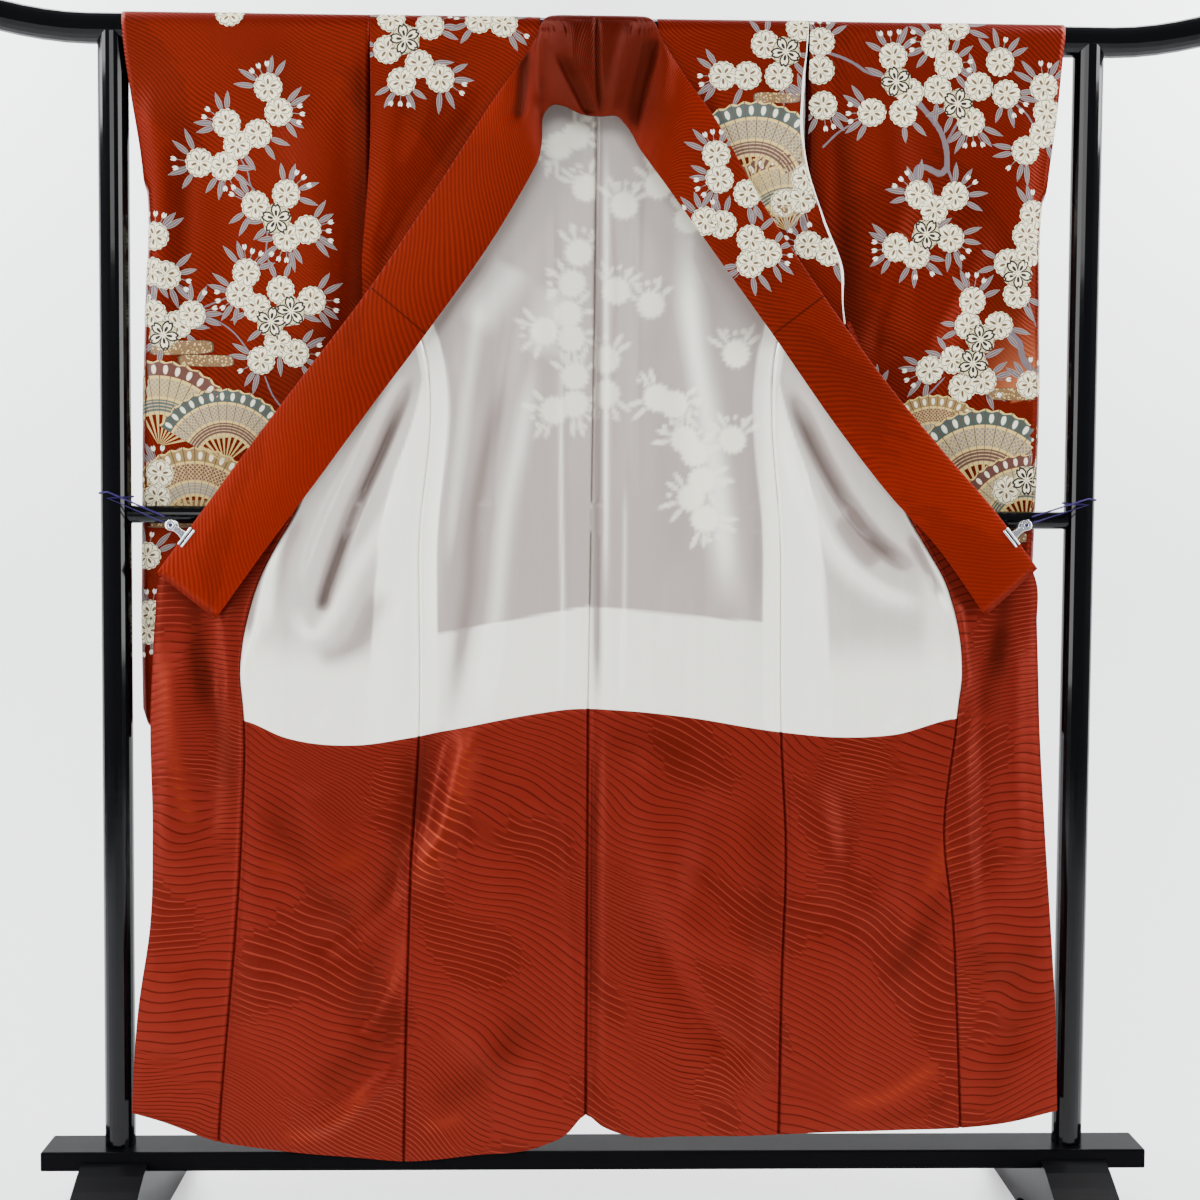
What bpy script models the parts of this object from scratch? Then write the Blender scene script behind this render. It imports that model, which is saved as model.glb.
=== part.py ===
# Furisode kimono hung open on a lacquered kimono stand.
# The viewer looks along +Y, so -Y is the front; +X is to the right and +Z is up.
# Tables and dimensions are in centimetres; the meshes are in metres.
import math
from collections import namedtuple

import bmesh
import bpy
import numpy as np
from mathutils import Matrix, Vector

CM = 0.01

# Driving dimensions of the stand
POST_SPACING = 141.0
RAIL_HEIGHT = 175.6
RAIL_RADIUS = 2.2
RAIL_HALF_LENGTH = 96.0
RAIL_BEND_START = 74.0
RAIL_END_RISE = 4.6
POST_RADIUS = 2.2
MID_RAIL_HEIGHT = 106.06
MID_RAIL_RADIUS = 1.3
BASE_TOP = 13.0
BASE_THICKNESS = 2.85
BASE_DEPTH = 7.25
BASE_LENGTH = 162.6
FOOT_WIDTH = 9.6
FOOT_HALF_LENGTH = 23.5
FOOT_SADDLE_HEIGHT = 12.3
FOOT_TOE_HEIGHT = 3.4
FOOT_ARCH_HALF = 9.0
FOOT_ARCH_HEIGHT = 2.4
FOOT_STEPS = 8
POST_TOP = 174.8
BASE_BEVEL = 0.25
SEAT_GAP = 0.03

# Driving dimensions of the garment
SILK = 0.14
LINING = 0.12
COLLAR_WALL = 0.2
LAYER = 0.3
SEAM_GAP = 0.03
WRAP_RADIUS = 2.38
COLLAR_RADIUS = 2.66
WRAP_STEPS = 4
LINING_TOP_BACK = 169.0
LINING_TOP_FRONT = 133.0
OKUMI_TOP = 134.6
SLEEVE_BOTTOM = 72.8
CUFF_LOW = 154.0
CORNER_RADIUS = 5.0
COLLAR_BULGE = 0.35
SLEEVE_FOLD_ROW = 1.0
# Above this height a front is shut over the body; below it, its door is turned out
DOOR_TOP = 131.0
DOOR_BLEND_LOW = 124.0
DOOR_BLEND_HIGH = 137.0

# How far each layer hangs from the stand's middle plane, by height
Hang = namedtuple("Hang", "height back front collar sleeve_front_in sleeve_front_out "
                          "sleeve_back_in sleeve_back_out")
HANG = [
    Hang(8.0, -4.40, -4.60, -5.4, 1.75, 1.75, 3.15, 3.15),
    Hang(20.0, -4.30, -4.50, -5.4, 1.75, 1.75, 3.15, 3.15),
    Hang(40.0, -3.70, -4.10, -5.2, 1.75, 1.75, 3.15, 3.15),
    Hang(72.0, -2.60, -3.60, -5.1, 1.75, 1.75, 3.15, 3.15),
    Hang(90.0, -2.05, -3.40, -5.0, 1.72, 1.72, 3.15, 3.15),
    Hang(104.0, -1.80, -3.30, -5.0, 1.66, 1.66, 3.12, 3.12),
    Hang(108.0, -1.76, -3.25, -4.95, 1.60, 1.60, 3.10, 3.10),
    Hang(118.0, -1.20, -3.15, -4.75, 0.80, 1.00, 2.85, 3.00),
    Hang(132.0, -0.30, -2.95, -4.35, -0.35, 0.15, 2.35, 2.80),
    Hang(145.0, 0.55, -2.80, -3.9, -1.45, -0.60, 1.90, 2.60),
    Hang(156.0, 1.25, -2.62, -3.5, -2.58, -1.20, 1.30, 2.50),
    Hang(165.0, 1.78, -2.50, -3.1, -2.48, -1.75, 1.80, 2.42),
    Hang(RAIL_HEIGHT, WRAP_RADIUS, -WRAP_RADIUS, -COLLAR_RADIUS, -WRAP_RADIUS, -WRAP_RADIUS,
         WRAP_RADIUS, WRAP_RADIUS),
]

# Outlines of the body, each measured outward from the middle of the stand
Body = namedtuple("Body", "height left_side right_side left_front right_front")
BODY = [
    Body(8.0, 28.4, 26.5, 28.4, 26.5),
    Body(38.0, 27.9, 26.8, 27.9, 26.8),
    Body(58.0, 27.3, 27.3, 27.3, 27.3),
    Body(74.0, 26.4, 26.5, 26.4, 26.5),
    Body(100.0, 26.5, 26.2, 26.5, 26.2),
    Body(132.5, 26.7, 25.8, 26.7, 25.8),
    Body(137.0, 28.6, 27.0, 27.6, 25.8),
    Body(142.0, 30.4, 28.2, 27.4, 25.2),
    Body(149.0, 32.2, 29.0, 23.8, 20.8),
    Body(156.0, 33.6, 29.4, 19.4, 17.0),
    Body(165.5, 33.6, 29.4, 13.3, 11.2),
    Body(171.0, 33.6, 29.4, 9.9, 8.2),
    Body(179.6, 33.6, 29.4, 9.2, 7.6),
]
# Outer boundary of each front above its collar turn
Shoulder = namedtuple("Shoulder", "height left right")
SHOULDER = [
    Shoulder(133.0, 35.5, 35.2),
    Shoulder(137.0, 34.6, 34.7),
    Shoulder(142.0, 34.6, 34.6),
    Shoulder(149.0, 34.1, 31.8),
    Shoulder(156.0, 33.6, 29.4),
    Shoulder(179.6, 33.6, 29.4),
]
# Seam between front and okumi, and the okumi's free edge
Okumi = namedtuple("Okumi", "height left_seam right_seam left_free right_free")
OKUMI = [
    Okumi(8.0, 55.6, 53.8, 67.7, 67.9),
    Okumi(18.0, 55.0, 53.3, 67.7, 67.7),
    Okumi(34.0, 53.7, 52.6, 66.8, 67.2),
    Okumi(47.0, 52.6, 51.9, 65.0, 66.3),
    Okumi(60.0, 51.8, 50.4, 64.6, 65.3),
    Okumi(76.6, 51.5, 52.0, 64.9, 64.2),
    Okumi(84.0, 52.0, 52.6, 64.6, 63.9),
    Okumi(91.0, 51.0, 51.8, 64.2, 63.6),
    Okumi(97.5, 48.9, 49.8, 63.3, 63.3),
    Okumi(101.6, 46.8, 47.4, 60.6, 61.2),
    Okumi(106.0, 44.3, 44.8, 57.2, 57.6),
    Okumi(115.0, 41.2, 41.4, 50.4, 49.4),
    Okumi(125.0, 38.4, 38.3, 43.0, 40.8),
    Okumi(131.0, 36.6, 36.4, 38.6, 37.4),
    Okumi(135.0, 35.2, 34.9, 35.7, 35.5),
]
# Cuff edge of each sleeve
Edge = namedtuple("Edge", "height left right")
SLEEVE_EDGE = [
    Edge(70.0, 67.3, 64.2),
    Edge(92.0, 67.5, 64.3),
    Edge(107.0, 67.3, 64.6),
    Edge(122.0, 67.0, 64.8),
    Edge(137.0, 66.4, 64.4),
    Edge(150.0, 65.8, 64.2),
    Edge(157.0, 66.3, 64.8),
    Edge(166.0, 67.6, 65.7),
    Edge(172.0, 68.4, 66.1),
    Edge(177.0, 68.8, 66.5),
]
# Lower edges across the whole garment
Across = namedtuple("Across", "x hem join")
ACROSS = [
    Across(-68.0, 19.3, 76.6),
    Across(-63.6, 18.0, 76.6),
    Across(-55.0, 14.9, 76.6),
    Across(-51.5, 14.3, 76.4),
    Across(-45.7, 13.5, 74.0),
    Across(-35.4, 12.5, 72.8),
    Across(-28.0, 11.9, 73.8),
    Across(-18.0, 12.8, 75.8),
    Across(-8.3, 14.1, 77.6),
    Across(-4.5, 15.9, 78.1),
    Across(-1.8, 18.6, 78.2),
    Across(0.6, 17.0, 78.1),
    Across(4.0, 15.7, 77.9),
    Across(12.0, 15.6, 77.1),
    Across(26.3, 15.7, 74.9),
    Across(35.0, 16.1, 74.2),
    Across(43.1, 16.4, 74.7),
    Across(51.8, 16.6, 77.1),
    Across(60.0, 17.4, 77.1),
    Across(68.0, 19.3, 77.1),
]
CentreSeam = namedtuple("CentreSeam", "height x")
CENTRE_SEAM = [CentreSeam(8.0, -1.8), CentreSeam(78.0, -1.8), CentreSeam(180.0, -0.8)]

# Largest folds: a soft ridge along each line; a negative rise is a trough
Fold = namedtuple("Fold", "x_top z_top x_low z_low width rise")
BACK_FOLDS = [
    Fold(-9.0, 152.0, -17.5, 84.0, 3.2, 0.9),
    Fold(-20.5, 138.0, -22.5, 82.0, 2.4, 0.6),
    Fold(-5.5, 140.0, -6.0, 88.0, 2.0, 0.5),
    Fold(-14.0, 72.0, -12.0, 8.0, 5.5, 0.9),
    Fold(-22.5, 66.0, -23.0, 8.0, 3.2, 0.6),
    Fold(-1.8, 74.0, -1.8, 10.0, 2.6, -0.9),
    Fold(6.5, 150.0, 12.5, 84.0, 3.0, 0.9),
    Fold(18.5, 140.0, 20.5, 82.0, 2.6, 0.6),
    Fold(12.0, 70.0, 12.0, 8.0, 5.5, 0.8),
    Fold(21.5, 66.0, 21.0, 8.0, 3.0, 0.6),
]
LEFT_FOLDS = [
    Fold(-28.4, 128.0, -40.6, 100.0, 1.6, 1.3),
    Fold(-36.0, 108.0, -41.0, 82.0, 6.0, 0.8),
    Fold(-37.4, 102.0, -39.6, 95.0, 1.9, -1.1),
    Fold(-46.5, 97.0, -44.0, 84.0, 2.6, 0.7),
    Fold(-49.2, 99.0, -51.0, 78.0, 1.6, 0.6),
    Fold(-31.0, 92.0, -30.5, 14.0, 2.6, 0.5),
    Fold(-40.0, 68.0, -41.5, 8.0, 6.0, 0.9),
    Fold(-48.5, 66.0, -49.5, 8.0, 2.8, 0.5),
    Fold(-58.0, 84.0, -61.0, 12.0, 4.2, 0.9),
]
RIGHT_FOLDS = [
    Fold(27.8, 127.0, 41.6, 102.0, 1.6, 1.2),
    Fold(36.0, 108.0, 42.0, 82.0, 6.0, 0.8),
    Fold(38.6, 103.0, 42.0, 94.0, 1.9, -1.1),
    Fold(47.5, 96.0, 45.0, 84.0, 2.6, 0.6),
    Fold(50.0, 97.0, 51.6, 78.0, 1.6, 0.7),
    Fold(31.0, 90.0, 31.0, 16.0, 2.6, 0.5),
    Fold(39.5, 70.0, 41.0, 10.0, 5.5, 0.9),
    Fold(48.6, 60.0, 49.8, 10.0, 2.4, 0.6),
    Fold(57.5, 82.0, 60.5, 12.0, 4.0, 0.9),
]
SLEEVE_FOLDS = [
    Fold(-60.0, 168.0, -62.0, 118.0, 3.0, 0.6),
    Fold(-52.0, 168.0, -50.0, 84.0, 4.0, 0.6),
    Fold(-41.0, 160.0, -43.0, 118.0, 3.2, 0.6),
    Fold(58.0, 168.0, 59.0, 118.0, 3.0, 0.6),
    Fold(48.0, 168.0, 50.0, 84.0, 4.0, 0.6),
    Fold(37.0, 160.0, 39.0, 118.0, 3.2, 0.6),
]

# The collar band, from the left end over the neck to the right end.
# Heights above the rail's axis are measured round the rail.
COLLAR_CROWN = RAIL_HEIGHT + COLLAR_RADIUS * math.pi / 2 - SEAM_GAP
Station = namedtuple("Station", "seam_x seam_height free_x free_height")
COLLAR = [
    Station(-63.6, 97.7, -55.2, 91.2),
    Station(-56.3, 107.7, -48.0, 101.3),
    Station(-49.2, 117.4, -40.5, 111.4),
    Station(-42.0, 127.0, -33.1, 121.6),
    Station(-33.3, 138.6, -25.4, 132.0),
    Station(-24.5, 151.9, -16.4, 144.8),
    Station(-16.2, 165.0, -10.2, 155.4),
    Station(-12.4, 170.4, -9.0, 159.0),
    Station(-10.0, 174.2, -8.8, 163.0),
    Station(-9.0, 176.8, -7.5, 164.8),
    Station(-7.6, 178.6, -5.6, 164.6),
    Station(-5.4, COLLAR_CROWN, -3.3, 163.6),
    Station(-0.8, COLLAR_CROWN, -0.6, 163.3),
    Station(4.0, COLLAR_CROWN, 1.6, 163.4),
    Station(6.0, 178.6, 2.9, 162.3),
    Station(7.2, 176.8, 4.0, 160.8),
    Station(8.3, 174.2, 5.0, 158.9),
    Station(11.4, 169.4, 6.8, 156.4),
    Station(16.4, 162.4, 9.2, 153.2),
    Station(23.3, 150.4, 15.4, 144.7),
    Station(31.7, 138.0, 24.4, 132.4),
    Station(40.8, 125.8, 33.2, 120.0),
    Station(49.4, 115.6, 41.2, 109.8),
    Station(56.4, 107.8, 48.6, 101.9),
    Station(63.1, 99.1, 55.6, 92.2),
]

# Clips that hold the collar's ends, and the cords that tie them to the posts
CLIP_STATION = 0.09
CLIP_WIDTH = 3.0
CLIP_BITE = 1.1
CLIP_REACH = 1.3
CLIP_PLATE = 0.12
CLIP_BACK_HALF = 0.62
RING_RADIUS = 0.85
RING_WIRE = 0.13
RING_STEPS = 14
RING_SIDES = 5
CORD_RADIUS = 0.13
CORD_HEIGHT = 108.8
CORD_PITCH = 0.9
CORD_SLACK = 0.08
CORD_LEAVES = math.radians(-75.0)
CORD_TURN = 16

# Divisions of each piece's mesh
GRID_ACROSS_BACK = 9
GRID_ACROSS_FRONT = 10
GRID_ACROSS_OKUMI = 5
GRID_ACROSS_SLEEVE = 9
GRID_ACROSS_COLLAR = 7
SHOULDER_ROWS = [171.0, 164.0, 156.0, 149.0, 142.5, 137.0]
LINING_ROWS = 10
HAKKAKE_ROWS = 7
SLEEVE_ROWS = 12
COLLAR_SAMPLES = 2


def clear_scene():
    for old in list(bpy.data.objects):
        bpy.data.objects.remove(old, do_unlink=True)


def material(name, colour, roughness, metallic=0.0):
    mat = bpy.data.materials.new(name)
    mat.use_nodes = True
    shader = mat.node_tree.nodes["Principled BSDF"]
    shader.inputs["Base Color"].default_value = (*colour, 1.0)
    shader.inputs["Roughness"].default_value = roughness
    shader.inputs["Metallic"].default_value = metallic
    return mat


def smooth_step(t):
    t = min(1.0, max(0.0, t))
    return t * t * (3 - 2 * t)


def read_table(table, key, column, at):
    """Smooth curve through one column of a table."""
    keys = [getattr(row, key) for row in table]
    values = [getattr(row, column) for row in table]
    at = min(keys[-1], max(keys[0], at))
    slopes = np.gradient(values, keys)
    i = min(len(keys) - 2, max(0, int(np.searchsorted(keys, at)) - 1))
    span = keys[i + 1] - keys[i]
    t = (at - keys[i]) / span
    start = (1 + 2 * t) * (1 - t) ** 2 * values[i] + t * (1 - t) ** 2 * span * slopes[i]
    end = t * t * (3 - 2 * t) * values[i + 1] + t * t * (t - 1) * span * slopes[i + 1]
    return float(start + end)


def straight_table(table, key, column, at):
    """Straight lines through one column of a table."""
    return float(np.interp(at, [getattr(row, key) for row in table],
                           [getattr(row, column) for row in table]))


def hang(column, height):
    return straight_table(HANG, "height", column, height)


def rise_at(folds, x, z):
    """How far the folds stand forward at one place."""
    total = 0.0
    for fold in folds:
        t = (fold.z_top - z) / (fold.z_top - fold.z_low)
        if not -0.2 < t < 1.2:
            continue
        centre = fold.x_top + t * (fold.x_low - fold.x_top)
        ends = smooth_step((t + 0.2) / 0.35) * smooth_step((1.2 - t) / 0.35)
        total += fold.rise * ends * math.exp(-((x - centre) / fold.width) ** 2)
    return total


def round_rail(height, front_y, radius, facing):
    """Turn a height measured along the cloth into y and z, round the rail above its axis.

    facing is -1 in front of the rail and +1 behind it.
    """
    if height <= RAIL_HEIGHT:
        return front_y, height
    angle = (height - RAIL_HEIGHT) / radius
    return facing * radius * math.cos(angle), RAIL_HEIGHT + radius * math.sin(angle)


def wall_direction(height, radius, facing):
    """Outward direction of the wall: level below the rail's axis, radial above it."""
    if height <= RAIL_HEIGHT:
        return Vector((0.0, facing, 0.0))
    angle = (height - RAIL_HEIGHT) / radius
    return Vector((0.0, facing * math.cos(angle), math.sin(angle)))


def finish(bm, name, mat, smooth_angle=40.0):
    bmesh.ops.recalc_face_normals(bm, faces=bm.faces[:])
    mesh = bpy.data.meshes.new(name)
    bm.to_mesh(mesh)
    bm.free()
    mesh.materials.append(mat)
    mesh.shade_smooth()
    mesh.set_sharp_from_angle(angle=math.radians(smooth_angle))
    obj = bpy.data.objects.new(name, mesh)
    bpy.context.scene.collection.objects.link(obj)
    return obj


def cloth(name, across, rows, surface, thickness, mat):
    """One panel: surface(u, row) gives a point and the wall's outward direction."""
    bm = bmesh.new()
    bmesh.ops.create_grid(bm, x_segments=across, y_segments=rows, size=1.0)
    outward = {}
    for vert in bm.verts:
        u = (vert.co.x + 1) / 2
        row = round((vert.co.y + 1) / 2 * rows)
        point, direction = surface(u, row)
        vert.co = (point - direction * thickness / 2) * CM
        outward[vert.index] = direction * thickness * CM
    before = [outward[vert.index] for vert in bm.verts]
    count = len(bm.verts)
    grown = bmesh.ops.extrude_face_region(bm, geom=bm.faces[:], use_keep_orig=True)
    bm.verts.ensure_lookup_table()
    moved = [item for item in grown["geom"] if isinstance(item, bmesh.types.BMVert)]
    for vert in moved:
        source = min(range(count), key=lambda i: (bm.verts[i].co - vert.co).length_squared)
        vert.co = vert.co + before[source]
    return finish(bm, name, mat)


def centre_x(height):
    return straight_table(CENTRE_SEAM, "height", "x", height)


def hem(x):
    return read_table(ACROSS, "x", "hem", x)


def join(x):
    return read_table(ACROSS, "x", "join", x)


def wrap_rows(radius):
    """Heights of the rows that turn over the rail, from the crown down to its axis."""
    crown = RAIL_HEIGHT + radius * math.pi / 2 - SEAM_GAP
    return [RAIL_HEIGHT + (crown - RAIL_HEIGHT) * (WRAP_STEPS - i) / WRAP_STEPS
            for i in range(WRAP_STEPS + 1)]


def body_rows(upper, x):
    """Row heights of a panel at x: the upper rows, the lining's rows and the hakkake's rows."""
    top = upper[-1]
    lining = [top + (join(x) - top) * i / LINING_ROWS for i in range(1, LINING_ROWS + 1)]
    skirt = [join(x) + (hem(x) - join(x)) * i / HAKKAKE_ROWS for i in range(1, HAKKAKE_ROWS + 1)]
    return upper + lining + skirt


def edge_x(side, table, column, height):
    prefix = "left" if side < 0 else "right"
    name = prefix if column is None else prefix + "_" + column
    reader = straight_table if table in (BODY, SHOULDER) else read_table
    return side * reader(table, "height", name, height)


def back_y(x, z):
    return hang("back", z) - rise_at(BACK_FOLDS, x, z)


def front_y(side, x, z):
    """Depth of an opened front: level with the back at the side seam, forward at its free edge."""
    inner = edge_x(side, BODY, "side", z)
    outer = edge_x(side, OKUMI, "free", z)
    t = smooth_step((x - inner) / (outer - inner) * 1.6)
    door = hang("back", z) + (hang("front", z) - hang("back", z)) * t
    closed = smooth_step((z - DOOR_BLEND_LOW) / (DOOR_BLEND_HIGH - DOOR_BLEND_LOW))
    folds = LEFT_FOLDS if side < 0 else RIGHT_FOLDS
    meets_back = smooth_step(abs(x - inner) / 2.5)
    rise = rise_at(folds, x, z) * max(meets_back, closed) + rise_at(BACK_FOLDS, x, z) * (1 - closed)
    return door + (hang("front", z) - door) * closed - rise


BACK_UPPER = wrap_rows(WRAP_RADIUS) + [LINING_TOP_BACK]
FRONT_UPPER = wrap_rows(WRAP_RADIUS) + SHOULDER_ROWS + [LINING_TOP_FRONT]
OKUMI_UPPER = [OKUMI_TOP, LINING_TOP_FRONT]


def panel_point(x_inner, x_outer, y_of, upper, first, offset, radius, facing):
    """Surface of one panel. x_inner and x_outer give its edges at a height."""

    def surface(u, row):
        middle = 0.5 * (x_inner(60.0) + x_outer(60.0))
        height = body_rows(upper, middle)[first + row]
        for _ in range(3):
            x = x_inner(height) + u * (x_outer(height) - x_inner(height))
            height = body_rows(upper, x)[first + row]
        y, z = round_rail(height, y_of(x, height), radius, facing)
        direction = wall_direction(height, radius, facing)
        return Vector((x, y - offset, z)), direction

    return surface


def make_back(side, name, red, white, rust):
    def inner(height):
        return centre_x(height) + side * SEAM_GAP / 2

    def outer(height):
        return edge_x(side, BODY, "side", height) - side * SEAM_GAP / 2

    rows = len(BACK_UPPER) + LINING_ROWS + HAKKAKE_ROWS - 1
    first_lining = len(BACK_UPPER) - 1
    first_skirt = first_lining + LINING_ROWS
    cloth("back_" + name, GRID_ACROSS_BACK, rows,
          panel_point(inner, outer, back_y, BACK_UPPER, 0, 0.0, WRAP_RADIUS, 1), SILK, red)
    lining = panel_point(inner, outer, back_y, BACK_UPPER, first_lining, LAYER, WRAP_RADIUS, 1)
    cloth("back_lining_" + name, GRID_ACROSS_BACK, LINING_ROWS,
          split_rows(lining, 0, LINING_ROWS, 0.0, SEAM_GAP), LINING, white)
    skirt = panel_point(inner, outer, back_y, BACK_UPPER, first_skirt, LAYER, WRAP_RADIUS, 1)
    cloth("back_hakkake_" + name, GRID_ACROSS_BACK, HAKKAKE_ROWS, skirt, LINING, rust)


def split_rows(surface, first, last, raise_first, raise_last):
    """Shift a panel's first or last row so that its neighbour above or below stays clear."""

    def shifted(u, row):
        point, direction = surface(u, row)
        if row == last:
            point = point + Vector((0, 0, raise_last))
        if row == first:
            point = point - Vector((0, 0, raise_first))
        return point, direction

    return shifted


def make_front(side, name, red, white, rust):
    def inner(height):
        column = "front" if height > DOOR_TOP else "side"
        return edge_x(side, BODY, column, height) + side * SEAM_GAP / 2

    def outer(height):
        if height >= LINING_TOP_FRONT:
            return edge_x(side, SHOULDER, None, height)
        return edge_x(side, OKUMI, "seam", height) - side * SEAM_GAP / 2

    def depth(x, z):
        return front_y(side, x, z)

    rows = len(FRONT_UPPER) + LINING_ROWS + HAKKAKE_ROWS - 1
    first_lining = len(FRONT_UPPER) - 1
    first_skirt = first_lining + LINING_ROWS
    cloth("front_" + name, GRID_ACROSS_FRONT, rows,
          panel_point(inner, outer, depth, FRONT_UPPER, 0, 0.0, WRAP_RADIUS, -1), SILK, red)
    lining = panel_point(inner, outer, depth, FRONT_UPPER, first_lining, LAYER, WRAP_RADIUS, -1)
    cloth("front_lining_" + name, GRID_ACROSS_FRONT, LINING_ROWS,
          split_rows(lining, 0, LINING_ROWS, 0.0, SEAM_GAP), LINING, white)
    skirt = panel_point(inner, outer, depth, FRONT_UPPER, first_skirt, LAYER, WRAP_RADIUS, -1)
    cloth("front_hakkake_" + name, GRID_ACROSS_FRONT, HAKKAKE_ROWS, skirt, LINING, rust)


def make_okumi(side, name, red, rust):
    def inner(height):
        return edge_x(side, OKUMI, "seam", height) + side * SEAM_GAP / 2

    def outer(height):
        return edge_x(side, OKUMI, "free", height)

    def depth(x, z):
        return front_y(side, x, z)

    rows = len(OKUMI_UPPER) + LINING_ROWS + HAKKAKE_ROWS - 1
    surface = panel_point(inner, outer, depth, OKUMI_UPPER, 0, 0.0, WRAP_RADIUS, -1)
    cloth("okumi_" + name, GRID_ACROSS_OKUMI, rows, surface, SILK, red)
    surface = panel_point(inner, outer, depth, OKUMI_UPPER, 1, LAYER, WRAP_RADIUS, -1)
    cloth("okumi_hakkake_" + name, GRID_ACROSS_OKUMI, rows - 1, surface, LINING, rust)


def make_sleeve(side, name, outline, mat):
    """A flat bag over the rail: open at the cuff and the inner edge, shut below the cuff."""
    inner = edge_x(side, BODY, "side", 170.0) + side * 2 * SEAM_GAP
    turn = 2 * WRAP_STEPS
    loop = 2 * SLEEVE_ROWS + turn + 2

    def bottom(x):
        into_corner = CORNER_RADIUS - abs(abs(x) - abs(outline(SLEEVE_BOTTOM + CORNER_RADIUS)))
        if into_corner <= 0:
            return SLEEVE_BOTTOM
        return SLEEVE_BOTTOM + CORNER_RADIUS - math.sqrt(CORNER_RADIUS ** 2 - into_corner ** 2)

    def first_row(low, t):
        start = low + SLEEVE_FOLD_ROW
        return start + (RAIL_HEIGHT - start) * t

    def ring_point(u, row):
        """Row 0 and the last row are the bottom fold; the rows between go up, over and down."""
        x = inner + u * (outline(120.0) - inner)
        for _ in range(2):
            low = bottom(x)
            if row in (0, loop):
                height, facing = low, 0
            elif row <= SLEEVE_ROWS + 1:
                t = (row - 1) / SLEEVE_ROWS
                height, facing = first_row(low, t), -1
            elif row >= loop - SLEEVE_ROWS - 1:
                t = (loop - 1 - row) / SLEEVE_ROWS
                height, facing = first_row(low, t), 1
            else:
                angle = math.pi * (row - SLEEVE_ROWS - 1) / turn
                height, facing = RAIL_HEIGHT + WRAP_RADIUS * math.sin(angle), None
            x = inner + u * (outline(height) - inner)
        if facing is None:
            return Vector((x, -WRAP_RADIUS * math.cos(angle), height))
        front = hang("sleeve_front_in", height) * (1 - u) + hang("sleeve_front_out", height) * u
        back = hang("sleeve_back_in", height) * (1 - u) + hang("sleeve_back_out", height) * u
        free = smooth_step(u / 0.15) * smooth_step((1 - u) / 0.1)
        wave = rise_at(SLEEVE_FOLDS, x, height) * free * smooth_step((height - 112.0) / 12.0)
        if facing == 0:
            return Vector((x, (front + back) / 2, height))
        return Vector((x, front - wave if facing < 0 else back + 0.7 * wave, height))

    bm = bmesh.new()
    bmesh.ops.create_grid(bm, x_segments=GRID_ACROSS_SLEEVE, y_segments=loop, size=1.0)
    edge = {}
    for vert in bm.verts:
        u = (vert.co.x + 1) / 2
        row = round((vert.co.y + 1) / 2 * loop)
        vert.co = ring_point(u, row) * CM
        if u > 0.999:
            edge[row] = vert
    closed = [row for row in range(1, SLEEVE_ROWS + 1) if edge[row + 1].co.z < CUFF_LOW * CM]
    for row in closed:
        bm.faces.new((edge[row], edge[row + 1], edge[loop - row - 1], edge[loop - row]))
    bm.faces.new((edge[0], edge[1], edge[loop - 1]))
    bmesh.ops.remove_doubles(bm, verts=bm.verts[:], dist=0.00001)
    sleeve = finish(bm, "sleeve_" + name, mat)
    wall = sleeve.modifiers.new("Cloth wall", "SOLIDIFY")
    wall.thickness = SILK * CM
    wall.offset = 0.0
    return sleeve


def collar_station(t):
    """Seam and free edge of the collar at t, from 0 at the left end to 1 at the right end."""
    place = t * (len(COLLAR) - 1)
    index = list(range(len(COLLAR)))
    values = []
    for column in Station._fields:
        series = [getattr(row, column) for row in COLLAR]
        i = min(len(COLLAR) - 2, int(place))
        part = place - i
        slopes = np.gradient(series, index)
        start = (1 + 2 * part) * (1 - part) ** 2 * series[i] + part * (1 - part) ** 2 * slopes[i]
        end = part ** 2 * (3 - 2 * part) * series[i + 1] + part ** 2 * (part - 1) * slopes[i + 1]
        values.append(float(start + end))
    station = Station(*values)
    return station._replace(seam_height=min(COLLAR_CROWN, station.seam_height))


def collar_point(t, u):
    station = collar_station(t)
    over_rail = max(0.0, station.seam_height - RAIL_HEIGHT)
    length = station.seam_height - station.free_height
    share = over_rail / (COLLAR_CROWN - RAIL_HEIGHT)
    column = u * GRID_ACROSS_COLLAR
    if column <= WRAP_STEPS:
        wrapped = over_rail / length * column / WRAP_STEPS
    else:
        rest = (column - WRAP_STEPS) / (GRID_ACROSS_COLLAR - WRAP_STEPS)
        wrapped = over_rail / length + (1 - over_rail / length) * rest
    part = u + (wrapped - u) * share
    x = station.seam_x + part * (station.free_x - station.seam_x)
    height = station.seam_height + part * (station.free_height - station.seam_height)
    lift = COLLAR_BULGE * math.sin(math.pi * part)
    y, z = round_rail(height, hang("collar", height) - lift * (1 - share), COLLAR_RADIUS, -1)
    return Vector((x, y, z)), wall_direction(height, COLLAR_RADIUS, -1)


def make_collar(mat):
    rows = (len(COLLAR) - 1) * COLLAR_SAMPLES
    return cloth("collar", GRID_ACROSS_COLLAR, rows,
                 lambda u, row: collar_point(row / rows, u), COLLAR_WALL, mat)


def add_object(name, mesh_maker, mat, place=None, smooth_angle=35.0):
    bm = bmesh.new()
    mesh_maker(bm)
    if place is not None:
        bmesh.ops.transform(bm, matrix=place, verts=bm.verts[:])
    return finish(bm, name, mat, smooth_angle)


def cylinder(radius, length, segments=24):
    def make(bm):
        bmesh.ops.create_cone(bm, cap_ends=True, segments=segments, radius1=radius * CM,
                              radius2=radius * CM, depth=length * CM)
    return make


def cutter_for(name, radius, length, place):
    cutter = add_object(name, cylinder(radius, length, 32), bpy.data.materials["black_lacquer"], place)
    cutter.hide_render = True
    cutter.display_type = "WIRE"
    return cutter


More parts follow.
